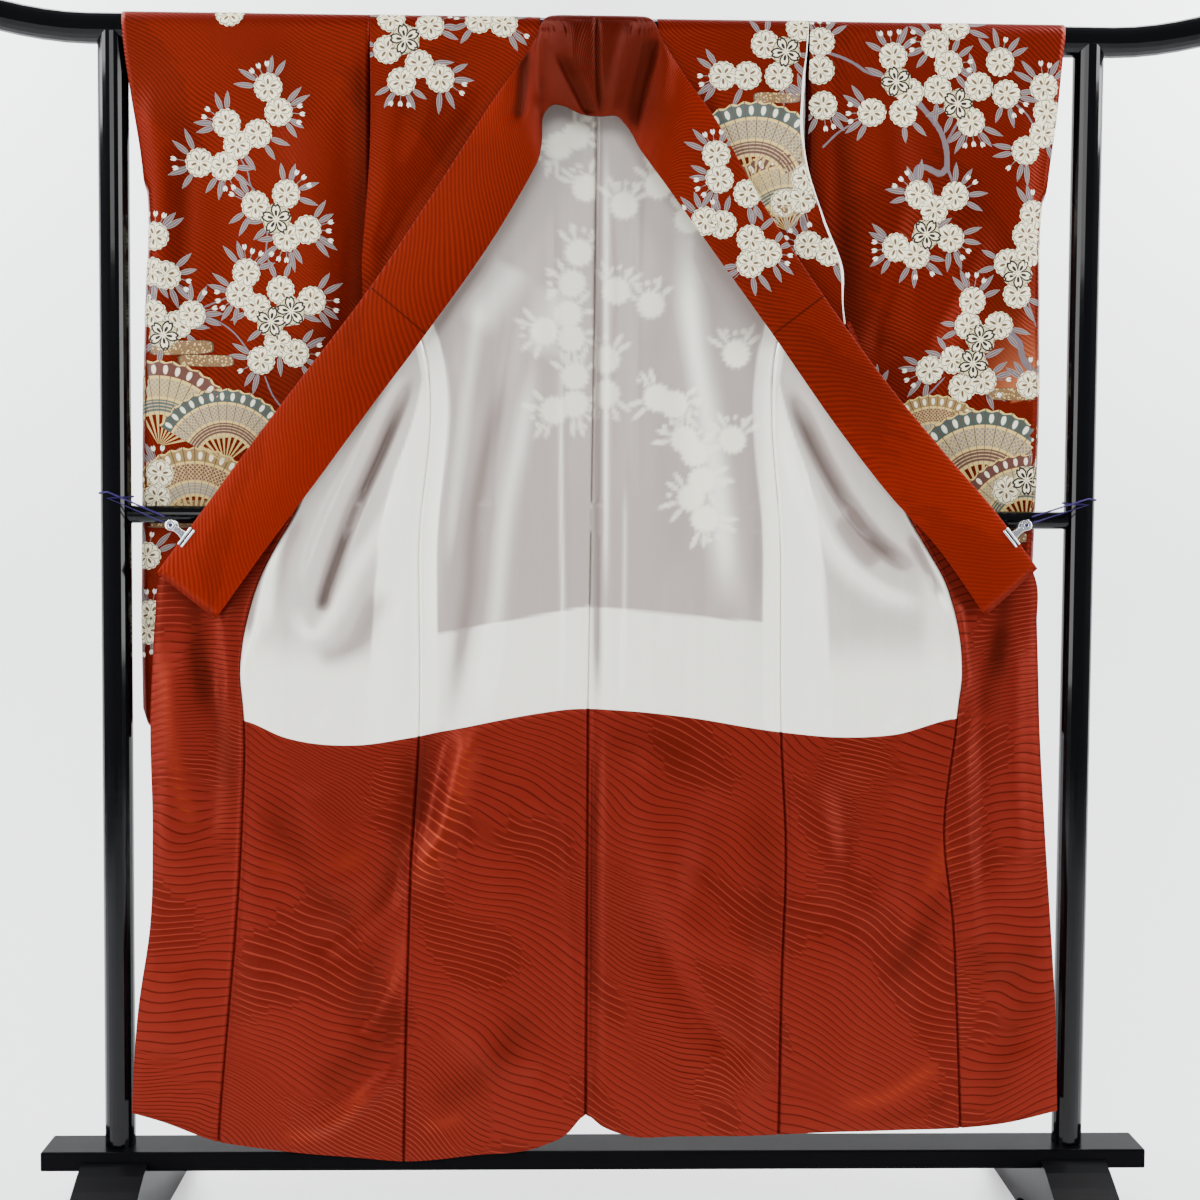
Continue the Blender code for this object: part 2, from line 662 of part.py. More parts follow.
def cut(obj, cutter):
    boolean = obj.modifiers.new("Scribed joint", "BOOLEAN")
    boolean.operation = "DIFFERENCE"
    boolean.solver = "EXACT"
    boolean.object = cutter


def rail_centre(x):
    """The rail is straight between the posts and turns up towards its ends."""
    t = max(0.0, abs(x) - RAIL_BEND_START) / (RAIL_HALF_LENGTH - RAIL_BEND_START)
    return Vector((x, 0.0, RAIL_HEIGHT + RAIL_END_RISE * t ** 1.8))


def tube(name, points, radius, resolution, mat):
    data = bpy.data.curves.new(name, "CURVE")
    data.dimensions = "3D"
    data.bevel_depth = radius * CM
    data.bevel_resolution = resolution
    data.use_fill_caps = True
    spline = data.splines.new("POLY")
    spline.points.add(len(points) - 1)
    for place, point in zip(spline.points, points):
        place.co = (*(point * CM), 1.0)
    data.materials.append(mat)
    obj = bpy.data.objects.new(name, data)
    bpy.context.scene.collection.objects.link(obj)
    return obj


def make_stand(lacquer):
    bends = [RAIL_BEND_START + (RAIL_HALF_LENGTH - RAIL_BEND_START) * i / 7 for i in range(8)]
    stops = [-x for x in reversed(bends)] + bends
    tube("top_rail", [rail_centre(x) for x in stops], RAIL_RADIUS, 8, lacquer)

    along_x = Matrix.Rotation(math.pi / 2, 4, "Y")
    rail_cut = cutter_for("rail_cutter", RAIL_RADIUS + SEAT_GAP, 2 * POST_SPACING,
                          Matrix.Translation((0, 0, RAIL_HEIGHT * CM)) @ along_x)
    low = BASE_TOP + SEAT_GAP
    high = POST_TOP
    mid_place = Matrix.Translation((0, 0, MID_RAIL_HEIGHT * CM)) @ along_x
    mid = add_object("mid_rail", cylinder(MID_RAIL_RADIUS, POST_SPACING - POST_RADIUS), lacquer, mid_place)
    for side, name in ((-1, "left"), (1, "right")):
        x = side * POST_SPACING / 2
        upright = Matrix.Translation((x * CM, 0, (low + high) / 2 * CM))
        post = add_object("post_" + name, cylinder(POST_RADIUS, high - low), lacquer, upright)
        cut(post, rail_cut)
        cut(mid, cutter_for("post_cutter_" + name, POST_RADIUS + SEAT_GAP, high - low, upright))
        make_foot(x, "foot_" + name, lacquer)

    def bar(bm):
        bmesh.ops.create_cube(bm, size=CM)
        bmesh.ops.scale(bm, vec=(BASE_LENGTH, BASE_DEPTH, BASE_THICKNESS), verts=bm.verts[:])

    base = add_object("base_bar", bar, lacquer,
                      Matrix.Translation((0, 0, (BASE_TOP - BASE_THICKNESS / 2) * CM)))
    bevel = base.modifiers.new("Soft edges", "BEVEL")
    bevel.width = BASE_BEVEL * CM
    bevel.segments = 2


def make_foot(x, name, lacquer):
    """An arched block that runs front to back, notched for the base bar."""
    notch = BASE_DEPTH / 2 + SEAT_GAP
    notch_floor = BASE_TOP - BASE_THICKNESS - SEAT_GAP

    def top(y):
        t = abs(y) / FOOT_HALF_LENGTH
        return FOOT_TOE_HEIGHT + (FOOT_SADDLE_HEIGHT - FOOT_TOE_HEIGHT) * (1 - smooth_step(t * 1.02) ** 0.9)

    outline = [(-FOOT_HALF_LENGTH, 0.0)]
    outline += [(-FOOT_HALF_LENGTH + (FOOT_HALF_LENGTH - notch) * i / FOOT_STEPS, None)
                for i in range(FOOT_STEPS + 1)]
    outline = [(y, top(y) if z is None else z) for y, z in outline]
    outline += [(-notch, notch_floor)]
    arch = [(-FOOT_ARCH_HALF * math.cos(math.pi * i / 10), FOOT_ARCH_HEIGHT * math.sin(math.pi * i / 10))
            for i in range(6)]
    front = outline + [(-y, z) for y, z in reversed(outline)]
    full_arch = [(-y, z) for y, z in arch[:-1]] + list(reversed(arch))
    points = front + full_arch

    def make(bm):
        verts = [bm.verts.new(((x - FOOT_WIDTH / 2) * CM, y * CM, z * CM)) for y, z in points]
        face = bm.faces.new(verts)
        grown = bmesh.ops.extrude_face_region(bm, geom=[face], use_keep_orig=True)
        moved = [item for item in grown["geom"] if isinstance(item, bmesh.types.BMVert)]
        bmesh.ops.translate(bm, vec=(FOOT_WIDTH * CM, 0, 0), verts=moved)

    return add_object(name, make, lacquer)


def clip_frame(side):
    """Place on the collar's seam edge that the clip bites, and the directions there."""
    t = CLIP_STATION / 4 if side < 0 else 1 - CLIP_STATION / 4
    here, _ = collar_point(t, 0.0)
    inward, _ = collar_point(t, 0.1)
    further, _ = collar_point(t * 1.3 if side < 0 else 1 - (1 - t) * 1.3, 0.0)
    across = (inward - here).normalized()
    through = across.cross(further - here).normalized()
    if through.y < 0:
        through = -through
    return here, across, through.cross(across)


def make_clip(side, name, metal, cord_mat):
    here, across, edge_dir = clip_frame(side)
    through = across.cross(edge_dir)
    gap = COLLAR_WALL / 2 + 2 * SEAT_GAP

    profile = [(-CLIP_REACH, -CLIP_BACK_HALF), (CLIP_BITE, -gap - CLIP_PLATE), (CLIP_BITE, -gap),
               (-SEAT_GAP * 2, -gap), (-SEAT_GAP * 2, gap), (CLIP_BITE, gap),
               (CLIP_BITE, gap + CLIP_PLATE), (-CLIP_REACH, CLIP_BACK_HALF)]

    def jaws(bm):
        start = here - edge_dir * CLIP_WIDTH / 2
        verts = [bm.verts.new((start + across * a + through * b) * CM) for a, b in profile]
        face = bm.faces.new(verts)
        grown = bmesh.ops.extrude_face_region(bm, geom=[face], use_keep_orig=True)
        moved = [item for item in grown["geom"] if isinstance(item, bmesh.types.BMVert)]
        bmesh.ops.translate(bm, vec=edge_dir * CLIP_WIDTH * CM, verts=moved)

    add_object("clip_" + name, jaws, metal)

    ring_centre = here - across * (CLIP_REACH + RING_RADIUS + RING_WIRE + SEAT_GAP)

    def ring(bm):
        loops = []
        for i in range(RING_STEPS):
            turn = 2 * math.pi * i / RING_STEPS
            out = across * math.cos(turn) + edge_dir * math.sin(turn)
            loops.append([bm.verts.new((ring_centre + out * (RING_RADIUS + RING_WIRE * math.cos(k))
                                        + through * RING_WIRE * math.sin(k)) * CM)
                          for k in (2 * math.pi * j / RING_SIDES for j in range(RING_SIDES))])
        for i in range(RING_STEPS):
            for j in range(RING_SIDES):
                a, b = loops[i], loops[(i + 1) % RING_STEPS]
                k = (j + 1) % RING_SIDES
                bm.faces.new((a[j], a[k], b[k], b[j]))

    add_object("clip_ring_" + name, ring, metal)
    make_tie(side, name, ring_centre, across, cord_mat)


def make_tie(side, name, ring_centre, across, mat):
    """Cord from the clip's ring once round the post, above the mid rail, and back."""
    post = Vector((side * POST_SPACING / 2, 0, 0))
    radius = POST_RADIUS + CORD_RADIUS + CORD_SLACK
    far = ring_centre - across * (RING_RADIUS + RING_WIRE + 1.6 * CORD_RADIUS + CORD_SLACK)
    spread = Vector((0, 0, CORD_PITCH / 2))
    points = [far + spread]
    for i in range(CORD_TURN + 1):
        turn = CORD_LEAVES + 2 * math.pi * i / CORD_TURN
        z = CORD_HEIGHT + CORD_PITCH * (0.5 - i / CORD_TURN)
        points.append(post + Vector((side * radius * math.cos(turn), radius * math.sin(turn), z)))
    points.append(far - spread)
    tube("clip_cord_" + name, points, CORD_RADIUS, 1, mat)


def main():
    clear_scene()
    red = material("silk_red", (0.40, 0.035, 0.012), 0.55)
    white = material("silk_lining_white", (0.72, 0.70, 0.69), 0.45)
    rust = material("silk_hakkake_red", (0.33, 0.028, 0.012), 0.5)
    lacquer = material("black_lacquer", (0.006, 0.006, 0.007), 0.12)
    metal = material("clip_steel", (0.75, 0.75, 0.77), 0.3, 0.8)
    cord = material("purple_cord", (0.09, 0.02, 0.16), 0.7)
    make_stand(lacquer)
    for side, name in ((-1, "left"), (1, "right")):
        make_back(side, name, red, white, rust)
        make_front(side, name, red, white, rust)
        make_okumi(side, name, red, rust)
        make_sleeve(side, name, lambda height, s=side: edge_x(s, SLEEVE_EDGE, None, height), red)
        make_clip(side, name, metal, cord)
    make_collar(red)


main()
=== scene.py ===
import math

import bmesh
import bpy
import numpy as np
from mathutils import Matrix, Vector
from mathutils.bvhtree import BVHTree


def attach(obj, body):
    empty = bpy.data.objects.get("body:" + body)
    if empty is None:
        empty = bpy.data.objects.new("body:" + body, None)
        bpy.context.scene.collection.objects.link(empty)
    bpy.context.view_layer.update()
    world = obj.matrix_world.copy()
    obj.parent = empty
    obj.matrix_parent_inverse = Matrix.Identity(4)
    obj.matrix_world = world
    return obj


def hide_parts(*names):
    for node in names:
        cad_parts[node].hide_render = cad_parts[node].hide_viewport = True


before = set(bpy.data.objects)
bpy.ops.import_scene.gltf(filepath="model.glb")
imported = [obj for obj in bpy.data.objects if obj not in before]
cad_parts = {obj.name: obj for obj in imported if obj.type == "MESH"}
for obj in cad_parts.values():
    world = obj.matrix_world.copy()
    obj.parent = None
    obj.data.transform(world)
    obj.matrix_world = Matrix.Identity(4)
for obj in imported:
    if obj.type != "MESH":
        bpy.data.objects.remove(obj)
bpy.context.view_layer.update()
cm = 0.01


# helpers for shapes
def smoothStep(t):
    t = np.clip(t, 0.0, 1.0)
    return t * t * (3 - 2 * t)


def mix(a, b, t):
    return a + (b - a) * t


def curve(table, key, column, at):
    # smooth line through one column of a table
    keys = np.array(table[key], float)
    values = np.array(table[column], float)
    at = np.clip(at, keys[0], keys[-1])
    slopes = np.gradient(values, keys)
    i = np.clip(np.searchsorted(keys, at) - 1, 0, len(keys) - 2)
    span = keys[i + 1] - keys[i]
    t = (at - keys[i]) / span
    start = (1 + 2 * t) * (1 - t) ** 2 * values[i] + t * (1 - t) ** 2 * span * slopes[i]
    end = t * t * (3 - 2 * t) * values[i + 1] + t * t * (t - 1) * span * slopes[i + 1]
    return start + end


def smoothPath(points, parts=5):
    # a path through the points with a few short runs between each two
    points = np.array(points, float)
    places = np.arange(len(points))
    table = {"at": places, "x": points[:, 0], "z": points[:, 1]}
    fine = np.linspace(0, len(points) - 1, (len(points) - 1) * parts + 1)
    return np.stack([curve(table, "at", "x", fine), curve(table, "at", "z", fine)], axis=1)


def foldRise(folds, x, z):
    # each fold is a soft ridge along its path; a negative rise is a trough
    total = np.zeros(np.shape(x))
    for points, width, rise, *lean in folds:
        path = smoothPath(points)
        near = (x > path[:, 0].min() - 3 * width) & (x < path[:, 0].max() + 3 * width)
        near &= (z > path[:, 1].min() - 3 * width) & (z < path[:, 1].max() + 3 * width)
        if not near.any():
            continue
        px, pz = x[near], z[near]
        nearest = np.full(px.shape, 1e9)
        place = np.zeros(px.shape)
        side = np.zeros(px.shape)
        for i in range(len(path) - 1):
            (ax, az), (bx, bz) = path[i], path[i + 1]
            run = (bx - ax) ** 2 + (bz - az) ** 2
            t = np.clip(((px - ax) * (bx - ax) + (pz - az) * (bz - az)) / run, 0, 1)
            away = np.hypot(px - ax - t * (bx - ax), pz - az - t * (bz - az))
            closer = away < nearest
            nearest = np.where(closer, away, nearest)
            side = np.where(closer, (bx - ax) * (pz - az) - (bz - az) * (px - ax), side)
            place = np.where(closer, (i + t) / (len(path) - 1), place)
        fade = smoothStep(place / 0.22 + 0.1) * smoothStep((1 - place) / 0.22 + 0.1)
        reach = np.where(side > 0, width * (lean[0] if lean else 1.0), width)
        total[near] += rise * fade * np.exp(-(nearest / reach) ** 2)
    return total


# the garment's form, in centimetres
garment = {
    "railHeight": 175.6, "wrapRadius": 2.38, "collarRadius": 2.66,
    "liningTopBack": 169.0, "liningTopFront": 133.0, "okumiTop": 134.6,
    "sleeveBottom": 72.8, "cuffLow": 154.0, "cornerRadius": 5.0, "seamGap": 0.01,
    "liningGap": 0.28, "silkWall": 0.05, "edgeWall": 0.03, "collarWall": 0.24,
    "cell": 0.62,
}
crown = garment["railHeight"] + garment["wrapRadius"] * math.pi / 2
# how far each layer hangs from the stand's middle plane
hangs = {
    "height": [8, 20, 40, 72, 90, 104, 108, 118, 132, 145, 156, 165, 175.6],
    "back": [-4.4, -4.3, -3.7, -2.6, -2.05, -1.8, -1.76, -1.2, -0.3, 0.55, 1.25, 1.78, 2.38],
    "front": [-4.6, -4.5, -4.1, -3.6, -3.4, -3.3, -3.25, -3.15, -2.95, -2.8, -2.62, -2.5, -2.38],
    "collar": [-5.4, -5.4, -5.2, -5.1, -5, -5, -4.95, -4.75, -4.35, -3.9, -3.5, -3.1, -2.66],
    "frontIn": [1.75, 1.75, 1.75, 1.75, 1.72, 1.66, 1.6, 0.8, -0.35, -1.45, -2.58, -2.48, -2.38],
    "frontOut": [1.75, 1.75, 1.75, 1.75, 1.72, 1.66, 1.6, 1, 0.15, -0.6, -1.2, -1.75, -2.38],
    "backIn": [3.15, 3.15, 3.15, 3.15, 3.15, 3.12, 3.1, 2.85, 2.35, 1.9, 1.3, 1.8, 2.38],
    "backOut": [3.15, 3.15, 3.15, 3.15, 3.15, 3.12, 3.1, 3, 2.8, 2.6, 2.5, 2.42, 2.38],
}
# side seam, and the closed front's inner edge, outward from the middle
bodyEdges = {
    "height": [8, 38, 58, 74, 100, 132.5, 137, 142, 149, 156, 165.5, 171, 179.6],
    "leftSide": [28.4, 27.9, 27.3, 26.4, 26.5, 26.7, 28.6, 30.4, 32.2, 33.6, 33.6, 33.6, 33.6],
    "rightSide": [26.5, 26.8, 27.3, 26.5, 26.2, 25.8, 27, 28.2, 29, 29.4, 29.4, 29.4, 29.4],
    "leftFront": [28.4, 27.9, 27.3, 26.4, 26.5, 26.7, 27.6, 27.4, 23.8, 19.4, 13.3, 9.9, 9.2],
    "rightFront": [26.5, 26.8, 27.3, 26.5, 26.2, 25.8, 25.8, 25.2, 20.8, 17, 11.2, 8.2, 7.6],
}
shoulderEdges = {
    "height": [133, 137, 142, 149, 156, 179.6],
    "left": [35.5, 34.6, 34.6, 34.1, 33.6, 33.6],
    "right": [35.2, 34.7, 34.6, 31.8, 29.4, 29.4],
}
okumiEdges = {
    "height": [8, 18, 34, 47, 60, 76.6, 84, 91, 97.5, 101.6, 106, 115, 125, 131, 135],
    "leftSeam": [55.6, 55, 53.7, 52.6, 51.8, 51.5, 52, 51, 48.9, 46.8, 44.3, 41.2, 38.4, 36.6, 35.2],
    "rightSeam": [53.8, 53.3, 52.6, 51.9, 50.4, 52, 52.6, 51.8, 49.8, 47.4, 44.8, 41.4, 38.3, 36.4, 34.9],
    "leftFree": [67.7, 67.7, 66.8, 65, 64.6, 64.9, 64.6, 64.2, 63.3, 60.6, 57.2, 50.4, 43, 38.6, 35.7],
    "rightFree": [67.9, 67.7, 67.2, 66.3, 65.3, 64.2, 63.9, 63.6, 63.3, 61.2, 57.6, 49.4, 40.8, 37.4, 35.5],
}
lowerEdges = {
    "x": [-68, -63.6, -55, -51.5, -45.7, -35.4, -28, -18, -8.3, -4.5, -1.8, 0.6, 4, 12, 26.3, 35, 43.1, 51.8,
          60, 68],
    "hem": [19.3, 18, 14.9, 14.3, 13.5, 12.5, 11.9, 12.8, 14.1, 15.9, 18.6, 17, 15.7, 15.6, 15.7, 16.1, 16.4,
            16.6, 17.4, 19.3],
    "join": [76.6, 76.6, 76.6, 76.4, 74, 72.8, 73.8, 75.8, 77.6, 78.1, 78.2, 78.1, 77.9, 77.1, 74.9, 74.2,
             74.7, 77.1, 77.1, 77.1],
}
centreSeam = {
    "height": [8, 78, 180],
    "x": [-1.8, -1.8, -0.8],
}
sleeveEdges = {
    "height": [70, 92, 107, 122, 137, 150, 157, 166, 172, 177],
    "left": [67.3, 67.5, 67.3, 67, 66.4, 65.8, 66.3, 67.6, 68.4, 68.8],
    "right": [64.2, 64.3, 64.6, 64.8, 64.4, 64.2, 64.8, 65.7, 66.1, 66.5],
}
collarStations = {
    "at": list(range(25)),
    "seamX": [-63.6, -56.3, -49.2, -42, -33.3, -24.5, -16.2, -12.4, -10, -9, -7.6, -5.4, -0.8, 4, 6, 7.2, 8.3,
              11.4, 16.4, 23.3, 31.7, 40.8, 49.4, 56.4, 63.1],
    "seamHeight": [97.7, 107.7, 117.4, 127, 138.6, 151.9, 165, 170.4, 174.2, 176.8, 178.6, 179.75, 179.75,
                   179.75, 178.6, 176.8, 174.2, 169.4, 162.4, 150.4, 138, 125.8, 115.6, 107.8, 99.1],
    "freeX": [-55.2, -48, -40.5, -33.1, -25.4, -16.4, -10.2, -9, -8.8, -7.5, -5.6, -3.3, -0.6, 1.6, 2.9, 4, 5,
              6.8, 9.2, 15.4, 24.4, 33.2, 41.2, 48.6, 55.6],
    "freeHeight": [91.2, 101.3, 111.4, 121.6, 132, 144.8, 155.4, 159, 163, 164.8, 164.6, 163.6, 163.3, 163.4,
                   162.3, 160.8, 158.9, 156.4, 153.2, 144.7, 132.4, 120, 109.8, 101.9, 92.2],
}
# folds: path of (x, z), half width and rise; a fourth number narrows the side to the left of the path
backFolds = [
   ([(-9, 152), (-13.2, 118), (-17.5, 84)], 3.2, 0.5), ([(-20.5, 138), (-22.5, 82)], 2.4, 0.5),
    ([(-14, 72), (-12, 10)], 5.5, 0.6), ([(6.5, 150), (12.5, 84)], 3, 0.5), ([(12, 70), (12, 10)], 5.5, 0.6),
    ([(21.5, 66), (21, 10)], 3, 0.5),
    ([(-7.6, 154.5), (-6.5, 131.5), (-5.3, 105.7), (-4.8, 88.2)], 0.5, 0.22),
    ([(0.6, 152.6), (1.4, 139.3), (1.1, 130.3), (1.5, 112.9)], 0.5, 0.2),
    ([(5.2, 158.5), (5, 131.6), (5.6, 105.7)], 0.5, 0.15),
    ([(-12, 143), (-15.1, 122.9), (-17, 99.8), (-18.1, 79.4)], 2.2, -0.75),
    ([(-8.4, 137.3), (-10.7, 115.7), (-11.8, 94)], 2, 0.55),
    ([(-19.1, 128.6), (-21.7, 108.4), (-22.5, 88.1)], 2.4, 0.6),
    ([(12.5, 141.8), (14.9, 123.2), (17.6, 100), (19.7, 81)], 2.4, 0.8),
    ([(7.5, 137.5), (9.6, 115.9), (11, 91.2)], 2.2, -0.6),
    ([(21.1, 130.4), (22.5, 108.7), (23, 86.9)], 2, -0.45),
    ([(-17.6, 77.1), (-20.1, 70), (-21.5, 64.8), (-23.7, 57.5), (-27.2, 51.8)], 2.3, 1.3),
    ([(-22.8, 76.2), (-24.4, 67.8), (-25.9, 58)], 2.1, -1.1),
    ([(6.5, 52), (10, 41), (16, 32), (22.5, 27)], 1.8, -0.8), ([(-22, 34), (-15, 27.5), (-8, 26)], 2.6, 0.6),
    ([(-5.9, 77), (-4.5, 50.4), (-2.7, 18)], 0.5, 0.3),
    ([(-18.8, 41.5), (-14.4, 28.2), (-18.7, 16.4)], 4, 0.8),
    ([(-10.2, 65), (-8.6, 43), (-9.9, 20.8)], 3.4, -0.6),
    ([(5.8, 73.8), (8.8, 56.3), (14.8, 41.5)], 3.2, 0.8), ([(17.4, 68), (14.7, 53.3), (7.5, 38.6)], 3, -0.7),
    ([(-0.5, 79), (-0.5, 50), (-0.4, 18)], 0.9, -0.9), ([(3.4, 120), (3.4, 94), (3.1, 76)], 0.4, 0.2),
    ([(-0.3, 152), (-0.3, 108), (-0.2, 76)], 0.8, -0.7),
    ([(20.6, 50.4), (21.9, 32.6), (20.9, 17.7)], 3.2, 0.7),
]
leftFrontFolds = [
   ([(-29.5, 127), (-34.6, 115.5), (-39.8, 104), (-43, 95)], 1.3, 1.3),
    ([(-27.6, 126.4), (-32.3, 114.8), (-36.4, 105.4), (-39.8, 95.3), (-40.4, 92)], 0.9, -1.9),
    ([(-27.2, 116), (-30.4, 106.5), (-35.4, 98.2), (-38.9, 91), (-42, 89), (-44.6, 92.8)], 1.4, 1),
    ([(-31, 96), (-35.5, 87.5), (-41.5, 85)], 1.8, -0.7),
    ([(-44.6, 105), (-47.7, 98), (-49.2, 91), (-50.8, 85.5), (-51.4, 81)], 0.7, 0.6, 0.5),
    ([(-45.7, 88.1), (-43.5, 80.8), (-39.2, 76.5)], 3, -0.5),
    ([(-30.3, 93.9), (-29.7, 85.2), (-30.2, 75)], 2.4, 0.5),
    ([(-27, 60), (-31.2, 51), (-36.4, 46), (-42, 42)], 2.5, -1),
    ([(-27.5, 46), (-31.5, 37.5), (-35.5, 30.3)], 1.6, -0.9),
    ([(-42.5, 16.6), (-36.2, 19.7), (-28.4, 26.4)], 1.5, 1),
    ([(-43.4, 67.9), (-39.1, 57.7), (-38.4, 50.3)], 3, 0.6),
    ([(-48.8, 70.8), (-49.5, 50.3), (-49, 28.3)], 2.4, 0.5), ([(-40, 62), (-41.5, 12)], 5.5, 0.5),
    ([(-61.1, 88.1), (-61.6, 70.8), (-62.3, 50.4)], 2.4, 0.7),
    ([(-56.9, 88.1), (-55.9, 73.7), (-57, 56.3)], 2, -0.7),
    ([(-54.4, 93.9), (-53.6, 85.3), (-54, 76.6)], 1.2, 0.5), ([(-60.7, 41.7), (-62.2, 27)], 3, 0.6),
    ([(-29.9, 171), (-31.5, 154.1), (-34, 138.4)], 2, 0.5),
    ([(-15, 169.8), (-22.1, 158.4), (-29.2, 147.7), (-33.2, 141.3)], 2, -0.5),
    ([(-23.5, 173.2), (-25.6, 164), (-29.2, 154.1)], 1.6, 0.35),
]
rightFrontFolds = [
   ([(26.9, 119), (29.6, 110), (34, 101), (40.5, 95.5), (47.7, 93.4)], 1.4, 1.3),
    ([(27.5, 125), (31.5, 116), (36, 108), (40.5, 102.5), (45.7, 98.6)], 1.2, -1.8),
    ([(30.5, 105.9), (33.3, 95.7), (39.3, 88.5), (45.9, 87)], 2, 0.7),
    ([(51.6, 95), (52.2, 88.5), (52.9, 79.7)], 0.7, 0.5),
    ([(28.1, 100.1), (29.9, 88.4), (30, 76.7)], 2.2, -0.4),
    ([(36.3, 88.5), (40.9, 79.7), (43.8, 76)], 3.2, -0.5), ([(29.1, 71), (33.7, 56.3), (41.2, 46)], 3, 0.8),
    ([(36.4, 71), (36.6, 56.3), (33.9, 43)], 2.6, -0.7),
    ([(35.5, 50.4), (36.9, 35.6), (35.4, 17.7)], 1.8, 0.6),
    ([(45.2, 68.1), (46.2, 50.4), (48.1, 26.6)], 2.6, -0.5), ([(39.5, 62), (41, 12)], 5.5, 0.5),
    ([(55.7, 91.6), (56.8, 71.1), (56.4, 50.5)], 2.2, -0.6),
    ([(60.1, 91.6), (60, 71.2), (61.6, 50.5)], 2.2, 0.7), ([(53, 77), (53.8, 57.9), (55.2, 38.7)], 1.4, 0.5),
    ([(60.3, 41.7), (62, 26.8)], 3, -0.5), ([(28, 171.8), (29.1, 157.6), (33, 143.4)], 1.8, 0.5),
    ([(12.2, 171.6), (18.8, 161.8), (25.4, 151.2), (31.3, 142.7)], 2, -0.5),
    ([(19.4, 173.1), (23.8, 164.7), (27.5, 156.2)], 1.6, 0.35),
]
sleeveFolds = [
   ([(-66, 166), (-65.2, 151), (-65, 134)], 1.3, 0.7), ([(-60, 160), (-60.6, 145), (-61.2, 130)], 2, -0.8),
    ([(46.5, 152), (42.5, 138), (40, 128)], 2.4, -0.8), ([(56, 150), (51, 138), (46, 128)], 2.6, 0.9),
    ([(-64.8, 168.7), (-63.1, 151), (-62.7, 122.5)], 3.6, 0.6),
    ([(-57, 167.4), (-54.7, 144), (-55.8, 119.7)], 4, -0.5),
    ([(-43.5, 168), (-41, 147), (-43.6, 112.7)], 4.5, 0.7),
    ([(-36.1, 168.1), (-35.8, 151.3), (-37.1, 122.8)], 2.4, -0.5),
    ([(33.6, 168.1), (34.4, 152.1), (37, 133.5)], 2.6, -0.5),
    ([(39.7, 168.1), (42.9, 149.3), (46.9, 126.3)], 3.6, 0.7),
    ([(51.5, 160.6), (53.1, 135.1), (52.1, 116.6)], 4.2, -0.4),
    ([(61.7, 168.4), (60.4, 149.5), (61.5, 123.6)], 3.4, 0.5),
]
# painted shade and highlight of the hem facing: darker in a hollow and under the band's free edge, lighter
# where a fold catches the light
facingShadeAndHighlight = [
   ([(-59.4, 97), (-58.3, 91.5), (-57.7, 85), (-57.6, 76)], 1.5, 0.62),
    ([(-55.5, 90.5), (-52, 95.5), (-49, 100.5), (-46, 104.5)], 1.9, 0.6),
    ([(-63.5, 96.5), (-59.5, 93.8)], 1.1, 0.4), ([(59.3, 96.5), (58.2, 90), (57.6, 82)], 1.5, 0.55),
    ([(55.5, 91.5), (51.5, 96.5), (48, 100.8), (46, 103.5)], 1.8, 0.6),
    ([(-18.9, 76), (-20.8, 66.2), (-24, 58.4), (-27.5, 51)], 1.5, -0.26),
    ([(-25.3, 76), (-26, 67.5), (-26.3, 60.4)], 0.9, 0.45),
    ([(-27.9, 75), (-28.2, 63.6), (-31.1, 51.9), (-33.7, 48)], 1.7, 0.4),
    ([(-47.8, 66.2), (-44, 58.4), (-38.8, 50.6), (-33.7, 48.6)], 2.6, 0.35),
    ([(-49, 55.8), (-42, 54.6), (-33.3, 57)], 1.2, -0.14),
    ([(-46.3, 15.8), (-40.8, 16.2), (-36.3, 19.1), (-32.7, 24.7)], 1, -0.2),
    ([(-42.1, 22.4), (-36.3, 26.4), (-31.1, 31), (-28.5, 36.2)], 2.6, 0.4),
    ([(-25.9, 16.8), (-22.7, 17.6), (-19.4, 19.1)], 0.9, -0.14),
    ([(-25.3, 20.4), (-19.4, 23), (-13.6, 29), (-9.7, 34.9)], 2.4, 0.35),
    ([(-31.7, 45), (-33.7, 37.5), (-36.3, 31)], 1.8, 0.3),
    ([(-35.7, 30.2), (-31.4, 37.5), (-28, 45.5)], 1.3, -0.12),
    ([(35.2, 20.3), (41, 21.1), (45.8, 23.5), (50.6, 26.7)], 1.1, -0.22),
    ([(43.5, 43.7), (48, 51), (51.5, 60.7)], 1.3, -0.16), ([(49.7, 51.9), (47, 45.3), (42.4, 38)], 2, 0.4),
    ([(53.5, 44.5), (59.2, 39.7), (64.7, 44.5)], 2.4, 0.35),
    ([(57.1, 18.2), (60.2, 28.3), (64.8, 38.4)], 2.6, 0.25),
    ([(-0.1, 73.9), (7, 73.2), (14.9, 70.8)], 2.4, 0.25),
    ([(39.4, 17.8), (47.5, 19.4), (52.2, 21.9)], 1, 0.3),
    ([(22.9, 64.9), (24.6, 52.5), (23.2, 39.7)], 2, 0.22),
    ([(-0.8, 68.8), (-1.1, 52.5), (-1.4, 34.5)], 0.6, 0.5),
    ([(59, 91.6), (57.5, 84.4), (55.6, 76.9)], 1.6, 0.35),
    ([(-59.8, 89.9), (-57.3, 82.9), (-54.5, 73.9), (-53.2, 61.6)], 1.5, 0.4),
    ([(-62.8, 90), (-62.2, 77), (-60.5, 66.1), (-58.4, 60)], 1.1, -0.16),
]
